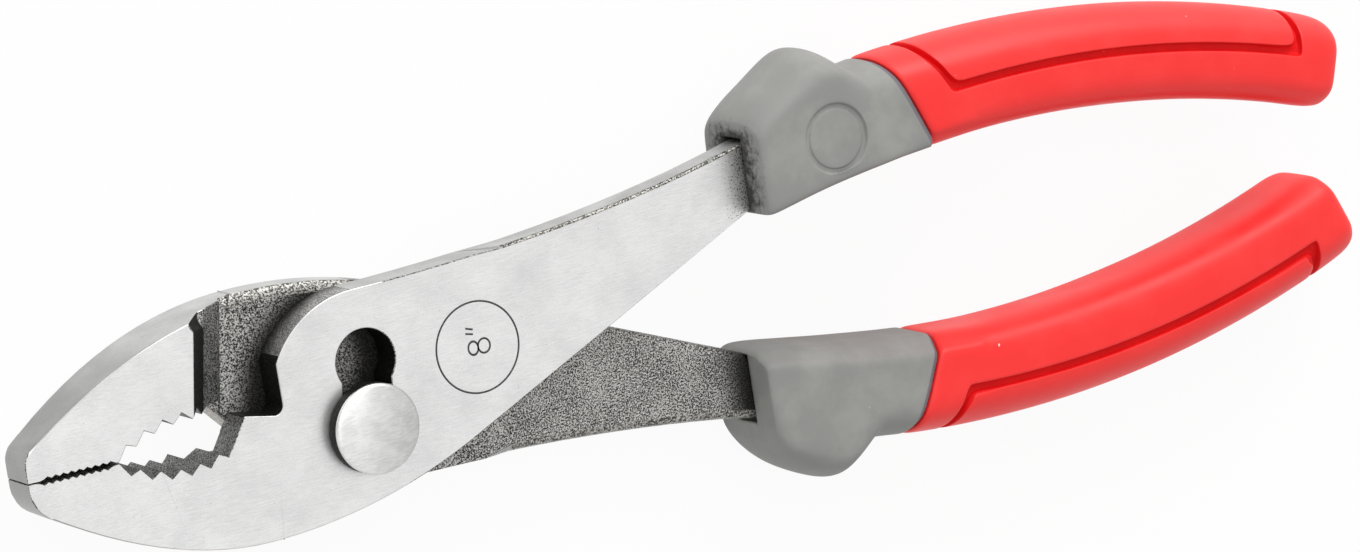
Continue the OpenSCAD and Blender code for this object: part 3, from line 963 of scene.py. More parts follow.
    def rounding(self, edge: bmesh.types.BMEdge) -> float:
        """Chooses the width of an edge's rounding.

        Args:
            edge: The edge.

        Returns:
            The width.
        """
        ends = [self.turned(DATUM.drawn(vert.co)) for vert in edge.verts]
        if all(end.x < -self.nose_x and end.y < -self.nose_h for end in ends):
            upright = abs(ends[0].z - ends[1].z) > self.upright_h
            return self.nose_round if upright else self.edge_round
        if all(end.x < -self.teeth_from and abs(end.y) < self.teeth_depth for end in ends):
            return self.tooth_round
        first, last = self.strip_x
        if all(first < end.x < last and end.y < -self.strip_h and abs(end.z) < self.mid_h for end in ends):
            return self.strip_round
        if all(end.x > self.tang_from for end in ends):
            return self.tang_round
        return self.edge_round

    def sort_faces(self, shape: bmesh.types.BMesh) -> None:
        """Gives each face the finish of its place.

        Args:
            shape: The half's mesh.
        """
        shape.normal_update()
        for face in shape.faces:
            place = self.turned(DATUM.drawn(face.calc_center_median()))
            finish = self.finish_of(place, self.turned(face.normal))
            face.material_index = self.finishes.index(finish)

    def finish_of(self, place: Vector, normal: Vector) -> Finish:
        """Chooses a face's finish.

        Args:
            place: The face's middle in the drawing, turned to the upper half.
            normal: Its direction, turned likewise.

        Returns:
            The finish.
        """
        outward = place.z * normal.z > 0.0 and abs(place.z) > self.outer_z
        if outward and abs(normal.z) > self.flat_share:
            return GROUND
        if place.x < -self.teeth_from and normal.y > self.tooth_share and abs(place.y) < self.teeth_depth:
            return TOOTHED if place.x < -self.teeth_to or self.side is Side.UPPER else WORN
        if place.x < -self.step_from:
            return self.jaw_finish(place, normal)
        wall = abs(normal.z) < self.steep_share
        flat = abs(normal.z) > self.flat_share
        if flat:
            return FORGED
        if wall:
            return self.wall_finish(place, normal)
        if place.x > self.polish_from:
            return EDGED if self.side is Side.UPPER else self.back_edge(normal)
        if outward:
            return SATIN
        return SCALED if place.y < -self.strip_h else TRIMMED

    def back_edge(self, normal: Vector) -> Finish:
        """Returns the finish of a rounded edge of the rear tang, paler along its back."""
        return SCALED if normal.y > 0.0 else FORGED

    def jaw_finish(self, place: Vector, normal: Vector) -> Finish:
        """Chooses the finish of a face of the jaw that is neither ground nor toothed.

        Args:
            place: The face's middle in the drawing, turned to the upper half.
            normal: Its direction, turned likewise.

        Returns:
            The finish.
        """
        # The step's steep face gets the near black of painted shade
        if normal.x > self.step_share:
            return SHADE_BLACK
        if normal.x > self.foot_share:
            return TOOTHED
        return SATIN if normal.y < -self.steep_share or normal.x < -self.end_share else FORGED

    def wall_finish(self, place: Vector, normal: Vector) -> Finish:
        """Chooses the finish of a wall of the plate or the tang.

        Args:
            place: The face's middle in the drawing, turned to the upper half.
            normal: Its direction, turned likewise.

        Returns:
            The finish.
        """
        in_notch = place.x < -self.notch_x and place.y > self.notch_y
        in_slot = (Vector(place[:2]) - Vector(self.slot_mid)).length < self.slot_r
        # Walls in the notch and the slot get the near black of painted shade
        if in_notch or in_slot:
            return SHADE_BLACK
        if place.x > self.bright_from and normal.y > 0.0:
            return POLISHED
        if place.x < self.polish_from and place.y < -self.strip_h:
            return SATIN
        if place.x > self.tang_from:
            return EDGED if self.side is Side.UPPER else FORGED
        return TRIMMED


@dataclass
class PivotBolt:
    """The bolt: a domed head, a shank with two flats in the slot and a stem through the rear half.

    Args:
        node: The node that it stands for.
        head_d: Diameter of the head.
        head_z: Height of the head's underside above the mid-plane.
        head_t: Thickness of the head at its rim.
        dome_h: Rise of the dome above the rim.
        dome_shares: Radii of the dome's rings, as shares of the rim's flat radius.
        rim_round: Rounding of the rim.
        rim_turns: Angles of the rounding's rings above the head's edge, in degrees.
        shank_d: Diameter of the shank.
        flats_w: Distance across the shank's flats.
        stem_d: Diameter of the stem.
        stem_chamfer: Width of the chamfer at the stem's end.
        slot_lean: Lean of the slot from the Y axis, in degrees.
        sharp: Least angle of an edge that is shaded sharp, in degrees.
        steps: Faces round the head.
    """

    node: str = "pivot_bolt"
    head_d: float = 11.9
    head_z: float = 5.25
    head_t: float = 2.5
    dome_h: float = 0.6
    dome_shares: tuple[float, ...] = (0.0, 0.2, 0.4, 0.6, 0.8, 0.92)
    rim_round: float = 0.55
    rim_turns: tuple[float, ...] = (80.0, 60.0, 40.0, 20.0, 0.0)
    shank_d: float = 8.36
    flats_w: float = 6.86
    stem_d: float = 6.0
    stem_chamfer: float = 0.5
    slot_lean: float = 5.6
    sharp: float = 40.0
    steps: int = 96

    def build(self) -> bpy.types.Object:
        """Builds the piece.

        Returns:
            The bolt.
        """
        lowest = DATUM.drawn(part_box(self.node)[0]).z
        shape = bmesh.new()
        turn_profile(shape, self.profile(lowest), DATUM.pivot, self.steps)
        self.cut_flats(shape)
        rim = DATUM.place(0.0, 0.0, self.head_z + self.head_t - self.rim_round).z
        # Below the rim's rounding, the head's side, the shank and the stem get the near black of painted
        # shade
        for face in shape.faces:
            face.material_index = 1 if face.calc_center_median().z < rim else 0
        piece = make_piece("pivot_bolt_body", shape, (BRUSHED, SHADE_BLACK), Body.BOLT, Slot.BOLT, self.node)
        piece.data.set_sharp_from_angle(angle=math.radians(self.sharp))
        return piece

    def profile(self, lowest: float) -> list[tuple[float, float]]:
        """Returns the half section, from the top of the dome down to the end of the stem.

        Args:
            lowest: Height of the stem's end.

        Returns:
            Radius and height of each corner.
        """
        radius = self.head_d / 2.0
        rim = self.head_z + self.head_t
        flat = radius - self.rim_round
        dome = [(flat * share, rim + self.dome_h * (1.0 - share**2)) for share in self.dome_shares]
        turns = [math.radians(angle) for angle in self.rim_turns]
        edge = [(flat + self.rim_round * math.cos(a), rim - self.rim_round * (1.0 - math.sin(a)))
                for a in turns]
        stem = self.stem_d / 2.0
        return dome + edge + [
            (radius, self.head_z + self.rim_round / 2.0), (radius - self.rim_round / 2.0, self.head_z),
            (self.shank_d / 2.0, self.head_z), (self.shank_d / 2.0, 0.0), (stem, 0.0),
            (stem, lowest + self.stem_chamfer), (stem - self.stem_chamfer, lowest), (0.0, lowest)]

    def cut_flats(self, shape: bmesh.types.BMesh) -> None:
        """Presses the shank's two flats in, along the slot.

        Args:
            shape: The bolt's mesh.
        """
        lean = math.radians(self.slot_lean)
        across = Vector((math.cos(lean), -math.sin(lean), 0.0))
        half = self.flats_w / 2.0 * MM
        for vert in shape.verts:
            spoke = vert.co - DATUM.pivot
            on_shank = abs(Vector(spoke[:2]).length - self.shank_d / 2.0 * MM) < WELD
            if on_shank and -WELD < spoke.z < self.head_z * MM + WELD:
                away = spoke.dot(across)
                vert.co -= across * (away - max(-half, min(half, away)))


@dataclass
class PivotNut:
    """The hexagon nut on the back.

    Args:
        node: The node that it stands for.
        sides: Number of its sides.
        width: Distance across the flats.
        chamfer: Angle of the chamfer that rounds the corners' tops off, in degrees.
        cuts: Cuts along each side, for the chamfer's curve.
        rim_w: Width of the rim round each end face.
        cap_share: Least part of a normal along Z on an end face.
        sharp: Least angle of an edge that is shaded sharp, in degrees.
    """

    node: str = "pivot_nut"
    sides: int = 6
    width: float = 10.0
    chamfer: float = 30.0
    cuts: int = 9
    rim_w: float = 0.3
    cap_share: float = 0.9
    sharp: float = 35.0

    def build(self) -> bpy.types.Object:
        """Builds the piece.

        Returns:
            The nut.
        """
        low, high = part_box(self.node)
        half_side = math.pi / self.sides
        corner = self.width / 2.0 / math.cos(half_side) * MM
        shape = bmesh.new()
        bmesh.ops.create_circle(shape, cap_ends=True, segments=self.sides, radius=corner)
        bmesh.ops.subdivide_edges(shape, edges=shape.edges[:], cuts=self.cuts)
        bmesh.ops.rotate(shape, verts=shape.verts[:], matrix=Matrix.Rotation(half_side, 3, "Z"))
        grown = bmesh.ops.extrude_face_region(shape, geom=shape.faces[:])
        top = [item for item in grown["geom"] if isinstance(item, bmesh.types.BMVert)]
        bmesh.ops.translate(shape, verts=top, vec=(0.0, 0.0, high.z - low.z))
        slope = math.tan(math.radians(self.chamfer))
        for vert in shape.verts:
            spare = Vector(vert.co[:2]).length - self.width / 2.0 * MM
            vert.co.z += max(0.0, spare) * slope * (-1.0 if vert in top else 1.0)
        bmesh.ops.translate(shape, verts=shape.verts[:], vec=(DATUM.pivot.x, DATUM.pivot.y, low.z))
        bmesh.ops.recalc_face_normals(shape, faces=shape.faces[:])
        caps = [face for face in shape.faces if abs(face.normal.z) > self.cap_share]
        bmesh.ops.inset_region(shape, faces=caps, thickness=self.rim_w * MM, use_even_offset=True)
        piece = make_piece("pivot_nut_body", shape, (PLAIN_NUT,), Body.BOLT, Slot.BOLT, self.node)
        piece.data.set_sharp_from_angle(angle=math.radians(self.sharp))
        return piece


@dataclass(frozen=True)
class Spine:
    """The curved middle line of a handle: u runs along it, v outwards and w across.

    Args:
        side: The handle that it belongs to.
        crown_h: Distance of the bend's crown from the closing line.
        crown_at: Distance along the line from the mouth to the crown.
        mouth_x: Distance of the mouth from the pivot.
        bend_r: Radius of the bend.
        mid_z: Distance of the handle's mid-plane from the joint's.
    """

    side: Side
    crown_h: float
    crown_at: float
    mouth_x: float = 59.0
    bend_r: float = 150.0
    mid_z: float = 3.0

    def turn(self, u: float) -> float:
        """Returns the direction of the line at u, in radians below the X axis."""
        return (u - self.crown_at) / self.bend_r

    def place(self, u: float, v: float, w: float) -> Vector:
        """Places a point that is given from the line.

        Args:
            u: Its distance along the line.
            v: Its distance outwards.
            w: Its distance across.

        Returns:
            The place in the frame, in metres.
        """
        angle = self.turn(u)
        x = self.mouth_x + self.bend_r * (math.sin(angle) - math.sin(self.turn(0.0))) + v * math.sin(angle)
        y = self.crown_h + self.bend_r * (math.cos(angle) - 1.0) + v * math.cos(angle)
        return DATUM.place(x, self.side.value * y, self.side.value * (self.mid_z + w))


@dataclass(frozen=True)
class Station:
    """One ring of a grip.

    Args:
        at: Its place along the spine.
        out_h: Height of the outer edge above the spine.
        in_h: Depth of the inner edge below it.
        half_w: Half thickness.
        lean: Angle by which its outer side leans towards the mouth, in degrees.
        boxy: How square its outer side is, from 0 to 1.
        chamfer: How flat the chamfers of its inner side are, from 0 to 1.
        square: How square its inner side is, from 0 to 1.
    """

    at: float
    out_h: float
    in_h: float
    half_w: float
    lean: float = 0.0
    boxy: float = 0.0
    chamfer: float = 0.0
    square: float = 0.0


# Rows of a half section as shares of its height and of its half thickness: the outer side, round and
# square, and the inner side, round, chamfered and square
ROUND_OUT_SHARES = ((1.0, 0.0), (0.975, 0.33), (0.86, 0.62), (0.66, 0.85), (0.44, 0.97))
BOXY_OUT_SHARES = ((1.0, 0.0), (0.985, 0.38), (0.93, 0.70), (0.84, 0.91), (0.70, 1.0))
ROUND_IN_SHARES = ((0.34, 1.0), (0.64, 0.97), (0.86, 0.82), (0.97, 0.56), (1.0, 0.28), (1.0, 0.0))
CHAMFER_IN_SHARES = ((0.34, 1.0), (0.66, 1.0), (0.83, 0.80), (1.0, 0.60), (1.0, 0.3), (1.0, 0.0))
SQUARE_IN_SHARES = ((0.34, 1.0), (0.70, 1.0), (0.93, 0.99), (0.995, 0.90), (1.0, 0.5), (1.0, 0.0))
# Where the rows that the groove lies between are, and how many rows go round
GROOVE_ROW = len(ROUND_OUT_SHARES)
HALF_ROWS = GROOVE_ROW + 2 + len(ROUND_IN_SHARES)
ROWS = 2 * (HALF_ROWS - 1)
# Rows of the shoulder between flank and guard, and of the chamfer's two edges
SHOULDER_ROW = GROOVE_ROW - 1
CHAMFER_ROWS = (GROOVE_ROW + 3, GROOVE_ROW + 5)


def mix(low: float, high: float, share: float) -> float:
    """Returns the value that lies a share of the way from low to high."""
    return low + (high - low) * share


def pair_mix(
    low: Sequence[tuple[float, float]], high: Sequence[tuple[float, float]], share: float
) -> list[tuple[float, float]]:
    """Returns the rows that lie a share of the way from one list of rows to another."""
    return [(mix(a[0], b[0], share), mix(a[1], b[1], share)) for a, b in zip(low, high)]


class Cage:
    """A tube of quads along a spine, rolled up from a grid, for a subdivision surface."""

    def __init__(self, spine: Spine, stations: Sequence[Station], groove: tuple[float, float]) -> None:
        """Rolls the tube up.

        Args:
            spine: The line that the rings stand on.
            stations: The rings, from the mouth to the end.
            groove: Heights of the two rows that the groove lies between.
        """
        self.spine = spine
        self.stations = stations
        self.groove = groove
        self.shape = bmesh.new()
        self.crease = self.shape.edges.layers.float.new("crease_edge")
        # Layer of dirt and painted shade, painted on the vertices
        self.grime_and_shade = self.shape.verts.layers.float.new("grime_and_shade")
        self.rings = self.roll()
        bmesh.ops.recalc_face_normals(self.shape, faces=self.shape.faces[:])

    def roll(self) -> list[list[bmesh.types.BMVert]]:
        """Makes the grid, bends it round and closes its seam.

        Returns:
            The vertices of each ring.
        """
        last = len(self.stations) - 1
        made = bmesh.ops.create_grid(self.shape, x_segments=last, y_segments=ROWS, size=1.0)
        rings: list[list[bmesh.types.BMVert]] = [[None] * (ROWS + 1) for _ in self.stations]
        for vert in made["verts"]:
            ring = round((vert.co.x + 1.0) / 2.0 * last)
            row = round((vert.co.y + 1.0) / 2.0 * ROWS)
            rings[ring][row] = vert
        for ring, station in zip(rings, self.stations):
            for row, vert in enumerate(ring):
                vert.co = self.place(station, row % ROWS)
        bmesh.ops.weld_verts(self.shape, targetmap={ring[ROWS]: ring[0] for ring in rings})
        return [ring[:ROWS] for ring in rings]

    def half_rows(self, station: Station) -> list[tuple[float, float]]:
        """Works a station's half section out.

        Args:
            station: The station.

        Returns:
            Height and distance across of each row.
        """
        outer = pair_mix(ROUND_OUT_SHARES, BOXY_OUT_SHARES, station.boxy)
        inner = pair_mix(ROUND_IN_SHARES, CHAMFER_IN_SHARES, station.chamfer)
        inner = pair_mix(inner, SQUARE_IN_SHARES, station.square)
        rows = [(v * station.out_h, w * station.half_w) for v, w in outer]
        rows += [(height, station.half_w) for height in self.groove]
        return rows + [(-v * station.in_h, w * station.half_w) for v, w in inner]

    def place(self, station: Station, row: int) -> Vector:
        """Returns the place of one vertex.

        Args:
            station: Its ring.
            row: Its row, counted from the outer middle over the front flank.

        Returns:
            The place in the frame, in metres.
        """
        v, w = self.half_rows(station)[min(row, ROWS - row)]
        u = station.at - v * math.tan(math.radians(station.lean))
        return self.spine.place(u, v, w if row < HALF_ROWS else -w)

    def face(self, ring: int, row: int) -> bmesh.types.BMFace:
        """Finds the face between a ring and the next, and a row and the next.

        Args:
            ring: The first ring.
            row: The first row, counted either way.

        Returns:
            The face.
        """
        after = (row + 1) % ROWS
        near, far = self.rings[ring], self.rings[ring + 1]
        return self.shape.faces.get((near[row % ROWS], near[after], far[after], far[row % ROWS]))

    def cap(self, ring: int) -> bmesh.types.BMFace:
        """Closes an end ring.

        Args:
            ring: The ring.

        Returns:
            The new face.
        """
        edges = self.ring_edges(ring)
        made = bmesh.ops.contextual_create(self.shape, geom=edges)["faces"]
        bmesh.ops.recalc_face_normals(self.shape, faces=self.shape.faces[:])
        return made[0]

    def grow(
        self, face: bmesh.types.BMFace, ring: Sequence[bmesh.types.BMVert]
    ) -> tuple[bmesh.types.BMFace, list[bmesh.types.BMVert]]:
        """Extrudes a face, without moving it yet.

        Args:
            face: The face.
            ring: Its vertices, in any order.

        Returns:
            The new face, and its vertices in the order of the old ones.
        """
        made = bmesh.ops.extrude_face_region(self.shape, geom=[face])["geom"]
        bmesh.ops.delete(self.shape, geom=[face], context="FACES_KEEP_BOUNDARY")
        fresh = {item for item in made if isinstance(item, bmesh.types.BMVert)}
        verts = [next(edge.other_vert(old) for edge in old.link_edges if edge.other_vert(old) in fresh)
                 for old in ring]
        return next(item for item in made if isinstance(item, bmesh.types.BMFace)), verts

    def ring_edges(self, ring: int) -> list[bmesh.types.BMEdge]:
        """Returns the edges of a ring."""
        verts = self.rings[ring]
        return [self.shape.edges.get((a, b)) for a, b in zip(verts, verts[1:] + verts[:1])]

    def row_edges(self, row: int, first: int, last: int) -> list[bmesh.types.BMEdge]:
        """Finds the edges of a row and of its mirror row.

        Args:
            row: The row.
            first: The ring at which they start.
            last: The ring at which they end.

        Returns:
            The edges.
        """
        pairs = [(self.rings[ring][side % ROWS], self.rings[ring + 1][side % ROWS])
                 for ring in range(first, last) for side in (row, -row)]
        return [self.shape.edges.get(pair) for pair in pairs]

    def sharpen(self, edges: Sequence[bmesh.types.BMEdge], crease: float) -> None:
        """Sets how sharp edges stay when the surface is subdivided."""
        for edge in edges:
            edge[self.crease] = crease

    def sink(
        self, faces: Sequence[bmesh.types.BMFace], slope: float, depth: float, crease: float
    ) -> list[bmesh.types.BMFace]:
        """Sinks a patch of faces into the surface.

        Args:
            faces: The patch.
            slope: Width of its walls, seen from above.
            depth: How deep it goes, or below 0 how far it rises.
            crease: How sharp its edges stay.

        Returns:
            The walls.
        """
        made = bmesh.ops.inset_region(self.shape, faces=list(faces), thickness=slope * MM, depth=-depth * MM,
                                      use_boundary=True, use_even_offset=True)
        walls = made["faces"]
        self.sharpen([edge for face in walls for edge in face.edges
                      if not all(f in walls for f in edge.link_faces)], crease)
        return walls


def subdivided(piece: bpy.types.Object, levels: int) -> bpy.types.Object:
    """Adds a live subdivision surface to a piece.

    Args:
        piece: The piece.
        levels: Steps of subdivision.

    Returns:
        The piece.
    """
    smooth = piece.modifiers.new("smooth", "SUBSURF")
    smooth.levels = levels
    smooth.render_levels = levels
    return piece


# Rings of the two collars, from the mouth to the seam: place as a share of the length, height as a
# share of the way from the neck's to the guard's, depth and thickness as shares of the full ones, lean
# as a share of the mouth's or, below 0, of the seam's, and how square the ring is
UPPER_COLLAR_SHARES = (
    (0.023, -0.03, 0.67, 0.925, 1.0, 1.0),
    (0.045, 0.11, 0.71, 0.985, 1.0, 1.0),
    (0.10, 0.27, 0.73, 1.0, 0.9, 1.0),
    (0.185, 0.43, 0.75, 1.0, 0.6, 1.0),
    (0.30, 0.61, 0.77, 1.0, 0.35, 1.0),
    (0.40, 0.79, 0.79, 1.0, 0.15, 1.0),
    (0.485, 0.93, 0.81, 1.0, 0.0, 1.0),
    (0.555, 1.0, 0.825, 1.0, -0.1, 1.0),
    (0.63, 0.92, 0.84, 1.0, -0.3, 1.0),
    (0.70, 0.62, 0.855, 1.0, -0.5, 0.9),
    (0.76, 0.22, 0.865, 0.978, -0.6, 0.75),
    (0.81, 0.02, 0.875, 0.957, -0.7, 0.5),
    (0.88, -0.01, 0.89, 0.95, -0.9, 0.35),
    (0.957, 0.0, 0.90, 0.95, -1.0, 0.3),
)
LOWER_COLLAR_SHARES = (
    (0.0, 0.05, 0.60, 0.925, 1.0, 1.0),
    (0.02, 0.27, 0.70, 0.985, 1.0, 1.0),
    (0.07, 0.53, 0.77, 1.0, 0.9, 1.0),
    (0.163, 0.73, 0.83, 1.0, 0.6, 1.0),
    (0.287, 0.88, 0.87, 1.0, 0.35, 1.0),
    (0.373, 0.95, 0.895, 1.0, 0.15, 1.0),
    (0.445, 1.0, 0.91, 1.0, 0.0, 1.0),
    (0.505, 0.98, 0.92, 1.0, -0.1, 1.0),
    (0.565, 0.86, 0.93, 1.0, -0.3, 1.0),
    (0.635, 0.58, 0.94, 1.0, -0.5, 0.9),
    (0.69, 0.22, 0.945, 0.978, -0.6, 0.75),
    (0.74, 0.02, 0.95, 0.957, -0.7, 0.5),
    (0.84, 0.0, 0.95, 0.95, -0.9, 0.35),
    (0.957, 0.0, 0.95, 0.95, -1.0, 0.3),
)
# Rings between which the guard's shoulder runs, and the ring in the valley behind the guard
SHOULDER_RINGS = (2, 9)
VALLEY_RING = 11
# The patch of the flank that the blank disc takes up
DISC_RINGS = range(4, 9)
DISC_ROWS = range(SHOULDER_ROW, GROOVE_ROW + 3)
# Rows of the mouth's rim as shares of its half height and half width, and the rows at its corners
MOUTH_SHARES = (
    (1.0, 0.0), (1.0, 0.4), (1.0, 0.75), (1.0, 1.0), (0.6, 1.0), (0.25, 1.0), (0.0, 1.0),
    (-0.35, 1.0), (-0.7, 1.0), (-1.0, 1.0), (-1.0, 0.7), (-1.0, 0.35), (-1.0, 0.0))
MOUTH_CORNERS = (3, 9)


@dataclass
class Collar:
    """The grey collar of a grip, with its finger guard, the mouth round the tang and a blank sunk disc.

    Args:
        spine: The handle's line.
        node: The node that it stands for.
        body: The body that it rides on.
        shares: Its rings.
        square: How square its inner side is, from 0 to 1.
        grime_and_shade_level: How dark dirt and painted shade make the mouth, from 0 to 1.
        ring_grime_and_shade: How dark dirt and painted shade make the first rings, as shares of the mouth.
        length: Its length along the spine.
        guard_h: Height of the finger guard above the spine.
        outer_h: Height of the outer edge behind the guard.
        inner_h: Depth of the inner edge.
        half_w: Half thickness at the guard.
        seam_lean: Lean of the seam, in degrees.
        lip: Depth of the bevel at the seam.
        lip_w: Width of that bevel.
        seam_gap: Gap between the collar and the seam.
        flank_v: Heights of the two rows on the flank.
        tang_w: Width of the tang at the mouth.
        tang_t: Thickness of the tang.
        tang_gap: Gap between the tang and the mouth.
        outer_gap: Gap between the tang's outer edge and the mouth.
        pocket: Depth of the mouth.
        disc_at: Place of the disc along the spine.
        disc_v: Height of the disc's middle above the spine.
        disc_r: Radius of the disc.
        disc_depth: How deep the ring round the disc is sunk.
        disc_ring: Width of that ring.
        disc_rise: How far the disc rises in the ring.
        disc_slopes: Widths of the ring's outer and inner wall.
        disc_creases: Creases of those walls' edges.
        shoulder_crease: Crease of the guard's shoulder.
        chamfer_crease: Crease of the inner chamfers' edges.
        valley_crease: Crease of the valley behind the guard.
        mouth_crease: Crease of the mouth's outer edge.
        rim_crease: Crease of the mouth's rim.
        lip_crease: Crease of the bevel at the seam.
        levels: Steps of subdivision.
    """

    spine: Spine
    node: str
    body: Body
    shares: tuple[tuple[float, ...], ...]
    square: float
    grime_and_shade_level: float
    ring_grime_and_shade: tuple[float, ...] = (0.5, 0.35, 0.2, 0.1)
    length: float = 25.7
    guard_h: float = 12.2
    outer_h: float = 7.1
    inner_h: float = 7.1
    half_w: float = 7.9
    seam_lean: float = 17.0
    lip: float = 0.55
    lip_w: float = 0.9
    seam_gap: float = 0.1
    flank_v: tuple[float, float] = (1.1, -0.1)
    tang_w: float = 8.6
    tang_t: float = 4.4
    tang_gap: float = 0.15
    outer_gap: float = 0.4
    pocket: float = 3.0
    disc_at: float = 12.5
    disc_v: float = 0.3
    disc_r: float = 4.9
    disc_depth: float = 0.4
    disc_ring: float = 0.5
    disc_rise: float = 0.2
    disc_slopes: tuple[float, float] = (0.22, 0.2)
    disc_creases: tuple[float, float] = (0.8, 0.6)
    shoulder_crease: float = 0.3
    chamfer_crease: float = 0.25
    valley_crease: float = 0.5
    mouth_crease: float = 0.45
    rim_crease: float = 0.9
    lip_crease: float = 0.75
    levels: int = 3

    def stations(self) -> list[Station]:
        """Lays the collar's rings out.

        Returns:
            The rings, from the mouth to the seam.
        """
        upright = math.degrees(self.spine.turn(0.0))
        rings = [Station(at * self.length, mix(self.outer_h, self.guard_h, guard), deep * self.inner_h,
                         wide * self.half_w, lean * upright if lean > 0.0 else -lean * self.seam_lean,
                         boxy, chamfer=1.0, square=self.square)
                 for at, guard, deep, wide, lean, boxy in self.shares]
        end = rings[-1] = replace(rings[-1], at=self.length - self.lip_w)
        rings.append(replace(end, at=self.length - self.seam_gap, out_h=end.out_h - self.lip,
                             in_h=end.in_h - self.lip, half_w=end.half_w - self.lip))
        return rings

    def build(self) -> bpy.types.Object:
        """Builds the piece.

        Returns:
            The collar.
        """
        cage = Cage(self.spine, self.stations(), self.flank_v)
        last = len(cage.stations) - 1
        cage.cap(last)
        self.open_mouth(cage, cage.cap(0))
        self.sink_disc(cage)
        cage.sharpen(cage.row_edges(SHOULDER_ROW, *SHOULDER_RINGS), self.shoulder_crease)
        for row in CHAMFER_ROWS:
            cage.sharpen(cage.row_edges(row, 0, last), self.chamfer_crease)
        valley = cage.ring_edges(VALLEY_RING)
        cage.sharpen(valley[:SHOULDER_ROW] + valley[-SHOULDER_ROW:], self.valley_crease)
        cage.sharpen(cage.ring_edges(0), self.mouth_crease)
        cage.sharpen(cage.ring_edges(last - 1), self.lip_crease)
        cage.sharpen(cage.ring_edges(last), SHARP)
        # The bevel at the seam gets the darker grey of painted shade
        for row in range(ROWS):
            cage.face(last - 1, row).material_index = 1
        # Dirt and painted shade darken the first rings towards the mouth
        for ring, ring_share in zip(cage.rings, self.ring_grime_and_shade):
            for vert in ring:
                vert[cage.grime_and_shade] = ring_share * self.grime_and_shade_level
        finishes = (GREY, SHADED_LIP_GREY)
        piece = make_piece(self.node + "_collar", cage.shape, finishes, self.body, Slot.GREY, self.node)
        return subdivided(piece, self.levels)

    def open_mouth(self, cage: Cage, mouth: bmesh.types.BMFace) -> None:
        """Opens the mouth round the tang.

        Args:
            cage: The collar's mesh.
            mouth: The face that closes the mouth.
        """
        half_v = self.tang_w / 2.0 + self.tang_gap
        half_w = self.tang_t / 2.0 + self.tang_gap
        start = cage.stations[0].at
        upright = math.tan(self.spine.turn(0.0))
        face, rim = cage.grow(mouth, cage.rings[0])
        floor, bottom = cage.grow(face, rim)
        for row, (vert, deep) in enumerate(zip(rim, bottom)):
            high, wide = MOUTH_SHARES[min(row, ROWS - row)]
            v = high * half_v + (self.outer_gap if high == 1.0 else 0.0)
            w = wide * half_w if row < HALF_ROWS else -wide * half_w
            vert.co = self.spine.place(start - v * upright, v, w)
            deep.co = self.spine.place(start - v * upright + self.pocket, v, w)
            # Dirt and painted shade darken the mouth's rim and its inside
            vert[cage.grime_and_shade] = deep[cage.grime_and_shade] = self.grime_and_shade_level
        around = list(zip(rim, rim[1:] + rim[:1]))
        cage.sharpen([cage.shape.edges.get(pair) for pair in around], self.rim_crease)
        cage.sharpen(floor.edges, SHARP)
        corners = [row for row in range(ROWS) if min(row, ROWS - row) in MOUTH_CORNERS]
        cage.sharpen([cage.shape.edges.get((rim[row], bottom[row])) for row in corners], SHARP)

    def sink_disc(self, cage: Cage) -> None:
        """Sinks the blank disc into the flank.

        Args:
            cage: The collar's mesh.
        """
        patch = [cage.face(ring, row) for ring in DISC_RINGS for row in DISC_ROWS]
        disc = bmesh.ops.dissolve_faces(cage.shape, faces=patch)["region"][0]
        disc, verts = cage.grow(disc, [loop.vert for loop in disc.loops])
        middle = self.spine.place(self.disc_at, self.disc_v, self.half_w)
        along = (self.spine.place(self.disc_at + 1.0, self.disc_v, self.half_w) - middle).normalized()
        out = (self.spine.place(self.disc_at, self.disc_v + 1.0, self.half_w) - middle).normalized()
        angles = [math.atan2((v.co - middle).dot(out), (v.co - middle).dot(along)) for v in verts]
        step = 2.0 * math.pi / len(verts)
        way = 1.0 if math.sin(angles[1] - angles[0]) > 0.0 else -1.0
        starts = [math.atan2(math.sin(a - way * i * step), math.cos(a - way * i * step))
                  for i, a in enumerate(angles)]
        start = sum(starts) / len(starts)
        for i, vert in enumerate(verts):
            a = start + way * i * step
            vert.co = middle + (along * math.cos(a) + out * math.sin(a)) * self.disc_r * MM
        cage.sink([disc], self.disc_slopes[0], self.disc_depth, self.disc_creases[0])
        bmesh.ops.inset_region(cage.shape, faces=[disc], thickness=self.disc_ring * MM, use_even_offset=True)
        cage.sink([disc], self.disc_slopes[1], -self.disc_rise, self.disc_creases[1])


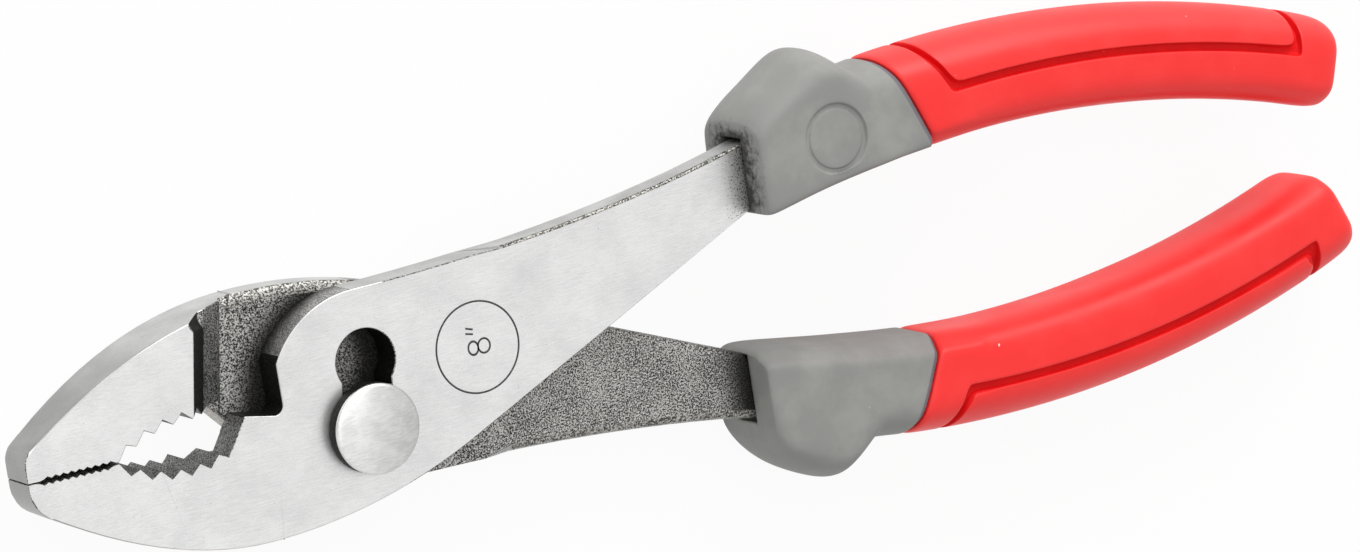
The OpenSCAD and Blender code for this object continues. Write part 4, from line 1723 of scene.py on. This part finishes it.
@dataclass
class Cover:
    """The red cover of a grip, with a groove round the panel that wraps over its outer edge.

    Args:
        spine: The handle's line.
        node: The node that it stands for.
        body: The body that it rides on.
        length: Place of the cover's end along the spine.
        outer_end_h: Height of the outer edge at the end.
        end_lean: Lean of the end, in degrees.
        far_gap: Distance from the panel's far end to the cover's.
        inner_start: Depth of the inner edge at the seam, as a share of the full one.
        inner_end: The same at the end.
        start: Place of the seam along the spine.
        outer_h: Height of the outer edge at the seam.
        inner_h: Depth of the inner edge.
        half_w: Half thickness.
        seam_lean: Lean of the seam, in degrees.
        groove_v: Height of the groove's middle above the spine.
        groove_w: Width of the groove.
        groove_depth: Depth of the groove.
        groove_slope: Width of the groove's walls.
        groove_crease: Crease of the groove's edges.
        seam_crease: Crease of the seam's edge.
        chamfer_crease: Crease of the inner chamfers before the panel.
        end_inset: Width of the rim round the end face.
        near_at: Place of the panel's near end along the spine.
        near_lean: Lean of the panel's near end, in degrees.
        far_lean: Lean of the panel's far end, in degrees.
        levels: Steps of subdivision.
    """

    spine: Spine
    node: str
    body: Body
    length: float
    outer_end_h: float
    end_lean: float
    far_gap: float
    inner_start: float
    inner_end: float
    start: float = 25.8
    outer_h: float = 7.15
    inner_h: float = 7.1
    half_w: float = 7.5
    seam_lean: float = 17.0
    groove_v: float = 0.5
    groove_w: float = 1.2
    groove_depth: float = 0.95
    groove_slope: float = 0.15
    groove_crease: float = 0.8
    seam_crease: float = 0.9
    chamfer_crease: float = 0.35
    end_inset: float = 1.6
    near_at: float = 31.6
    near_lean: float = 24.0
    far_lean: float = 8.0
    levels: int = 3

    def station(self, at: float, lean: float, size: float, chamfer: float, boxy: float = 0.0) -> Station:
        """Returns a ring of the cover.

        Args:
            at: Its place along the spine.
            lean: Its lean, in degrees.
            size: Its size as a share of the full section.
            chamfer: How flat its inner chamfers are.
            boxy: How square its outer side is.

        Returns:
            The ring.
        """
        share = (at - self.start) / (self.length - self.start)
        near_depth = mix(self.inner_start, 1.0, min(1.0, 2.0 * share))
        depth = self.inner_h * mix(near_depth, self.inner_end, max(0.0, 2.0 * share - 1.0))
        height = mix(self.outer_h, self.outer_end_h, share)
        return Station(at, height * size, depth * size, self.half_w * size, lean, boxy, chamfer)

    def stations(self) -> list[Station]:
        """Lays the cover's rings out.

        Returns:
            The rings, from the seam to the end.
        """
        start, near, end = self.start, self.near_at, self.length
        far = end - self.far_gap
        seam, lean, far_lean, end_lean = self.seam_lean, self.near_lean, self.far_lean, self.end_lean
        # Place, lean, size, inner chamfer and, where it isn't round, squareness of the outer side
        rings = (
            (start, seam, 0.95, 1.0, 0.3),
            (start + 0.35, seam, 0.995, 1.0, 0.3),
            (start + 1.4, mix(seam, lean, 0.2), 1.0, 0.9, 0.25),
            (mix(start, near, 0.65), mix(seam, lean, 0.6), 1.0, 0.75, 0.2),
            (near, lean, 1.0, 0.6, 0.1),
            (near + self.groove_w, lean, 1.0, 0.55, 0.1),
            (near + 3.4, lean * 0.8, 1.0, 0.45),
            (near + 7.0, lean * 0.45, 1.0, 0.35),
            (mix(near, far, 0.24), lean * 0.15, 1.0, 0.2),
            (mix(near, far, 0.37), 0.0, 1.0, 0.2),
            (mix(near, far, 0.51), 0.0, 1.0, 0.2),
            (mix(near, far, 0.65), 0.0, 1.0, 0.2),
            (mix(near, far, 0.79), 0.0, 1.0, 0.35),
            (mix(near, far, 0.91), far_lean * 0.6, 1.0, 0.5),
            (far, far_lean, 1.0, 0.6),
            (far + self.groove_w, far_lean, 1.0, 0.6),
            (mix(far, end, 0.4), mix(end_lean, far_lean, 0.5), 1.0, 0.6),
            (mix(far, end, 0.65), end_lean, 0.995, 0.6),
            (mix(far, end, 0.85), end_lean, 0.955, 0.6),
            (mix(far, end, 0.96), end_lean, 0.875, 0.6),
            (end, end_lean, 0.735, 0.6),
        )
        return [self.station(*ring) for ring in rings]

    def build(self) -> bpy.types.Object:
        """Builds the piece.

        Returns:
            The cover.
        """
        half = self.groove_w / 2.0
        cage = Cage(self.spine, self.stations(), (self.groove_v + half, self.groove_v - half))
        last = len(cage.stations) - 1
        cage.cap(0)
        end = cage.cap(last)
        bmesh.ops.inset_region(cage.shape, faces=[end], thickness=self.end_inset * MM, use_even_offset=True)
        places = [ring.at for ring in cage.stations]
        near, far = places.index(self.near_at), places.index(self.length - self.far_gap)
        flanks = (GROOVE_ROW, -GROOVE_ROW - 1)
        strip = {cage.face(ring, row) for ring in range(near, far + 1) for row in flanks}
        strip |= {cage.face(ring, row) for ring in (near, far) for row in range(-GROOVE_ROW, GROOVE_ROW)}
        cage.sharpen(cage.ring_edges(0), self.seam_crease)
        cage.sharpen(cage.row_edges(CHAMFER_ROWS[0], 0, near + 1), self.chamfer_crease)
        walls = cage.sink(list(strip), self.groove_slope, self.groove_depth, self.groove_crease)
        # The groove's floor and walls get the darker red of painted shade
        for face in (*strip, *walls):
            face.material_index = 1
        corners = ((near, 1), (near + 1, 0), (far, 0), (far + 1, 1))
        for ring, below in corners:
            row = GROOVE_ROW + below
            for vert in (cage.rings[ring][row], cage.rings[ring][-row]):
                cage.sharpen(vert.link_edges, SOFT)
        finishes = (RED, SHADED_GROOVE_RED)
        piece = make_piece(self.node + "_skin", cage.shape, finishes, self.body, Slot.RED, self.node)
        return subdivided(piece, self.levels)


@dataclass
class SizeMark:
    """The size mark on the ground face: a plain ring round a plain numeral and the two ticks of an inch.

    Args:
        ring: Place of the ring's middle in the drawing, and its radii along and across.
        loops: The same for the numeral's two loops.
        ticks: Place of each tick's middle, and its turn from the X axis in degrees.
        tick_len: Length of a tick.
        stroke: Width of a stroke.
        proud: Height of the stroke above the face.
        node: The node that carries it.
        steps: Faces round a loop.
    """

    ring: tuple[float, float, float, float] = (16.9, 3.0, 6.0, 6.0)
    loops: tuple[tuple[float, float, float, float], ...] = (
        (16.26, 3.0, 0.72, 0.88), (17.84, 3.0, 0.87, 0.95))
    ticks: tuple[tuple[float, float, float], ...] = ((16.08, 5.59, -19.0), (15.99, 4.94, -15.0))
    tick_len: float = 1.1
    stroke: float = 0.25
    proud: float = 0.015
    node: str = "front_half"
    steps: int = 96

    def build(self) -> bpy.types.Object:
        """Builds the piece.

        Returns:
            The mark.
        """
        shape = bmesh.new()
        face_z = DATUM.drawn(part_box(self.node)[1]).z
        for x, y, along, across in (self.ring, *self.loops):
            self.loop(shape, DATUM.place(x, y, face_z), along, across / along)
        for x, y, turn in self.ticks:
            bar = Matrix.Diagonal(Vector((self.tick_len, self.stroke, 2.0 * self.proud)) * MM).to_4x4()
            spot = Matrix.Translation(DATUM.place(x, y, face_z)) @ Matrix.Rotation(math.radians(turn), 4, "Z")
            bmesh.ops.create_cube(shape, size=1.0, matrix=spot @ bar)
        return make_piece("size_mark", shape, (INK,), Body.FRONT, Slot.FORGED)

    def loop(self, shape: bmesh.types.BMesh, centre: Vector, radius: float, stretch: float) -> None:
        """Adds one round stroke.

        Args:
            shape: The mark's mesh.
            centre: Its middle, in metres.
            radius: Radius of its middle line.
            stretch: How many times wider it is across.
        """
        before = set(shape.verts)
        half = self.stroke / 2.0
        corners = ((radius - half, -self.proud), (radius - half, self.proud), (radius + half, self.proud),
                   (radius + half, -self.proud))
        verts = [shape.verts.new(centre + Vector((r, 0.0, z)) * MM) for r, z in corners]
        edges = [shape.edges.new(pair) for pair in zip(verts, verts[1:] + verts[:1])]
        bmesh.ops.spin(shape, geom=verts + edges, cent=centre, axis=(0.0, 0.0, 1.0), angle=2.0 * math.pi,
                       steps=self.steps, use_merge=True)
        bmesh.ops.remove_doubles(shape, verts=shape.verts[:], dist=WELD)
        fresh = [vert for vert in shape.verts if vert not in before]
        bmesh.ops.scale(shape, vec=(1.0, stretch, 1.0), space=Matrix.Translation(-centre), verts=fresh)
        bmesh.ops.recalc_face_normals(shape, faces=shape.faces[:])


@dataclass
class PhotoCamera:
    """The camera, which stands where the photograph was taken from.

    Args:
        tilt: Angle of the view from straight above, in degrees.
        heading: Direction from which it looks, from the X axis, in degrees.
        roll: Turn of the picture, in degrees.
        distance: Distance from the ground face at the pivot.
        pixels: Pixels across a millimetre at that distance.
        pivot_px: Pixel of the ground face at the pivot.
        face_z: Height of the ground face above the mid-plane.
        picture: Width and height of the picture in pixels.
        sensor: Width of the sensor.
        clip: Least distance that it sees, in metres.
    """

    tilt: float = 30.0
    heading: float = 157.5
    roll: float = -8.75
    distance: float = 780.0
    pixels: float = 7.8
    pivot_px: tuple[float, float] = (370.5, 427.0)
    face_z: float = 5.2
    picture: tuple[float, float] = (1360.0, 552.0)
    sensor: float = 36.0
    clip: float = 0.01

    def build(self) -> None:
        """Makes the camera and sets the scene to it."""
        tilt, heading, roll = (math.radians(a) for a in (self.tilt, self.heading, self.roll))
        aside = math.sin(tilt)
        back = Vector((aside * math.cos(heading), aside * math.sin(heading), math.cos(tilt)))
        level = Vector((0.0, 1.0, 0.0)).cross(back).normalized()
        upright = back.cross(level)
        right = level * math.cos(roll) + upright * math.sin(roll)
        up = upright * math.cos(roll) - level * math.sin(roll)
        focal = self.pixels * self.distance
        across = (self.pivot_px[0] - self.picture[0] / 2.0) / focal
        above = (self.picture[1] / 2.0 - self.pivot_px[1]) / focal
        target = DATUM.pivot + Vector((0.0, 0.0, self.face_z)) * MM
        place = target - (right * across + up * above - back) * self.distance * MM
        lens = bpy.data.cameras.new("photo_camera")
        lens.sensor_fit = "HORIZONTAL"
        lens.sensor_width = self.sensor
        lens.lens = focal / self.picture[0] * self.sensor
        lens.clip_start = self.clip
        camera = bpy.data.objects.new("photo_camera", lens)
        camera.matrix_world = Matrix.Translation(place) @ Matrix((right, up, back)).transposed().to_4x4()
        bpy.context.scene.collection.objects.link(camera)
        bpy.context.scene.camera = camera


@dataclass
class Studio:
    """The plain white floor, the even light all round and the soft boxes, in metres.

    Args:
        floor_size: Side of the floor.
        floor_white: Colour of the floor.
        floor_glow: Share of plain white that the camera sees in the floor.
        ambient: Strength of the even light.
        boxes: Name, place, size and power in watts of each soft box.
    """

    floor_size: float = 6.0
    floor_white: float = 0.9
    floor_glow: float = 0.93
    ambient: float = 0.53
    boxes: tuple[tuple[str, Colour, float, float], ...] = (
        ("key_box", (-0.4, 0.9, 1.5), 2.0, 13.0),
        ("side_box", (0.5, 1.5, 0.7), 1.2, 19.0),
    )

    def build(self) -> None:
        """Makes the floor, the world and the soft boxes."""
        self.lay_floor()
        self.light_world()
        for name, place, size, power in self.boxes:
            self.hang_box(name, Vector(place), size, power)
        bpy.context.scene.view_settings.view_transform = "Standard"

    def seen_directly(self, tree: bpy.types.NodeTree) -> bpy.types.NodeSocket:
        """Tells rays from the camera, and reflected or refracted ones, from the rest.

        Args:
            tree: The node tree that asks.

        Returns:
            1 for those rays and 0 for the rest.
        """
        path = tree.nodes.new("ShaderNodeLightPath")
        total = path.outputs["Is Camera Ray"]
        for name in ("Is Glossy Ray", "Is Transmission Ray"):
            either = tree.nodes.new("ShaderNodeMath")
            either.operation = "MAXIMUM"
            tree.links.new(total, either.inputs[0])
            tree.links.new(path.outputs[name], either.inputs[1])
            total = either.outputs["Value"]
        return total

    def lay_floor(self) -> None:
        """Lays the floor under the object's lowest point."""
        shape = bmesh.new()
        bmesh.ops.create_grid(shape, x_segments=2, y_segments=2, size=self.floor_size / 2.0)
        bmesh.ops.translate(shape, verts=shape.verts[:], vec=(0.0, 0.0, CAD_BOX[0][2]))
        mesh = bpy.data.meshes.new("floor")
        shape.to_mesh(mesh)
        shape.free()
        material = bpy.data.materials.new("floor_paper")
        material.use_nodes = True
        tree = material.node_tree
        tree.nodes.clear()
        paper = tree.nodes.new("ShaderNodeBsdfDiffuse")
        paper.inputs["Color"].default_value = (self.floor_white,) * 3 + (1.0,)
        glow = tree.nodes.new("ShaderNodeEmission")
        share = tree.nodes.new("ShaderNodeMath")
        share.operation = "MULTIPLY"
        share.inputs[1].default_value = self.floor_glow
        tree.links.new(self.seen_directly(tree), share.inputs[0])
        both = tree.nodes.new("ShaderNodeMixShader")
        tree.links.new(share.outputs["Value"], both.inputs["Fac"])
        tree.links.new(paper.outputs["BSDF"], both.inputs[1])
        tree.links.new(glow.outputs["Emission"], both.inputs[2])
        output = tree.nodes.new("ShaderNodeOutputMaterial")
        tree.links.new(both.outputs["Shader"], output.inputs["Surface"])
        mesh.materials.append(material)
        floor = bpy.data.objects.new("floor", mesh)
        bpy.context.scene.collection.objects.link(floor)

    def light_world(self) -> None:
        """Makes the world white where it is seen, and an even light elsewhere."""
        world = bpy.data.worlds.new("studio")
        world.use_nodes = True
        tree = world.node_tree
        level = tree.nodes.new("ShaderNodeMapRange")
        level.inputs["To Min"].default_value = self.ambient
        tree.links.new(self.seen_directly(tree), level.inputs["Value"])
        white = tree.nodes["Background"]
        white.inputs["Color"].default_value = (1.0, 1.0, 1.0, 1.0)
        tree.links.new(level.outputs["Result"], white.inputs["Strength"])
        bpy.context.scene.world = world

    def hang_box(self, name: str, place: Vector, size: float, power: float) -> None:
        """Hangs one soft box, turned to the object.

        Args:
            name: Its name.
            place: Its middle.
            size: Its side.
            power: Its power in watts.
        """
        lamp = bpy.data.lights.new(name, "AREA")
        lamp.shape = "SQUARE"
        lamp.size = size
        lamp.energy = power
        box = bpy.data.objects.new(name, lamp)
        box.matrix_world = Matrix.Translation(place) @ place.to_track_quat("Z", "Y").to_matrix().to_4x4()
        bpy.context.scene.collection.objects.link(box)


def build_handles() -> None:
    """Builds the collar and the cover of both handles."""
    upper = Spine(Side.UPPER, crown_h=21.8, crown_at=41.7)
    lower = Spine(Side.LOWER, crown_h=19.5, crown_at=44.0)
    Collar(upper, "upper_grip_core", Body.FRONT, UPPER_COLLAR_SHARES, square=1.0, grime_and_shade_level=0.8).build()
    Collar(lower, "lower_grip_core", Body.REAR, LOWER_COLLAR_SHARES, square=0.0, grime_and_shade_level=0.35).build()
    Cover(upper, "upper_grip_cover", Body.FRONT, length=95.6, outer_end_h=5.9, end_lean=4.0, far_gap=8.1,
          inner_start=0.97, inner_end=0.97).build()
    Cover(lower, "lower_grip_cover", Body.REAR, length=97.9, outer_end_h=6.9, end_lean=-3.0, far_gap=7.9,
          inner_start=0.96, inner_end=0.94, groove_v=1.2).build()


def main() -> None:
    """Builds every piece in order, then the camera and the studio."""
    logging.basicConfig(level=logging.INFO, format="%(message)s")
    PhotoCamera().build()
    SteelHalf("front_half", Body.FRONT, Side.UPPER, nose_round=2.2, tang_round=0.4).build()
    SteelHalf("rear_half", Body.REAR, Side.LOWER, nose_round=1.1, tang_round=1.2).build()
    PivotBolt().build()
    PivotNut().build()
    build_handles()
    SizeMark().build()
    Studio().build()


if __name__ == "__main__":
    main()
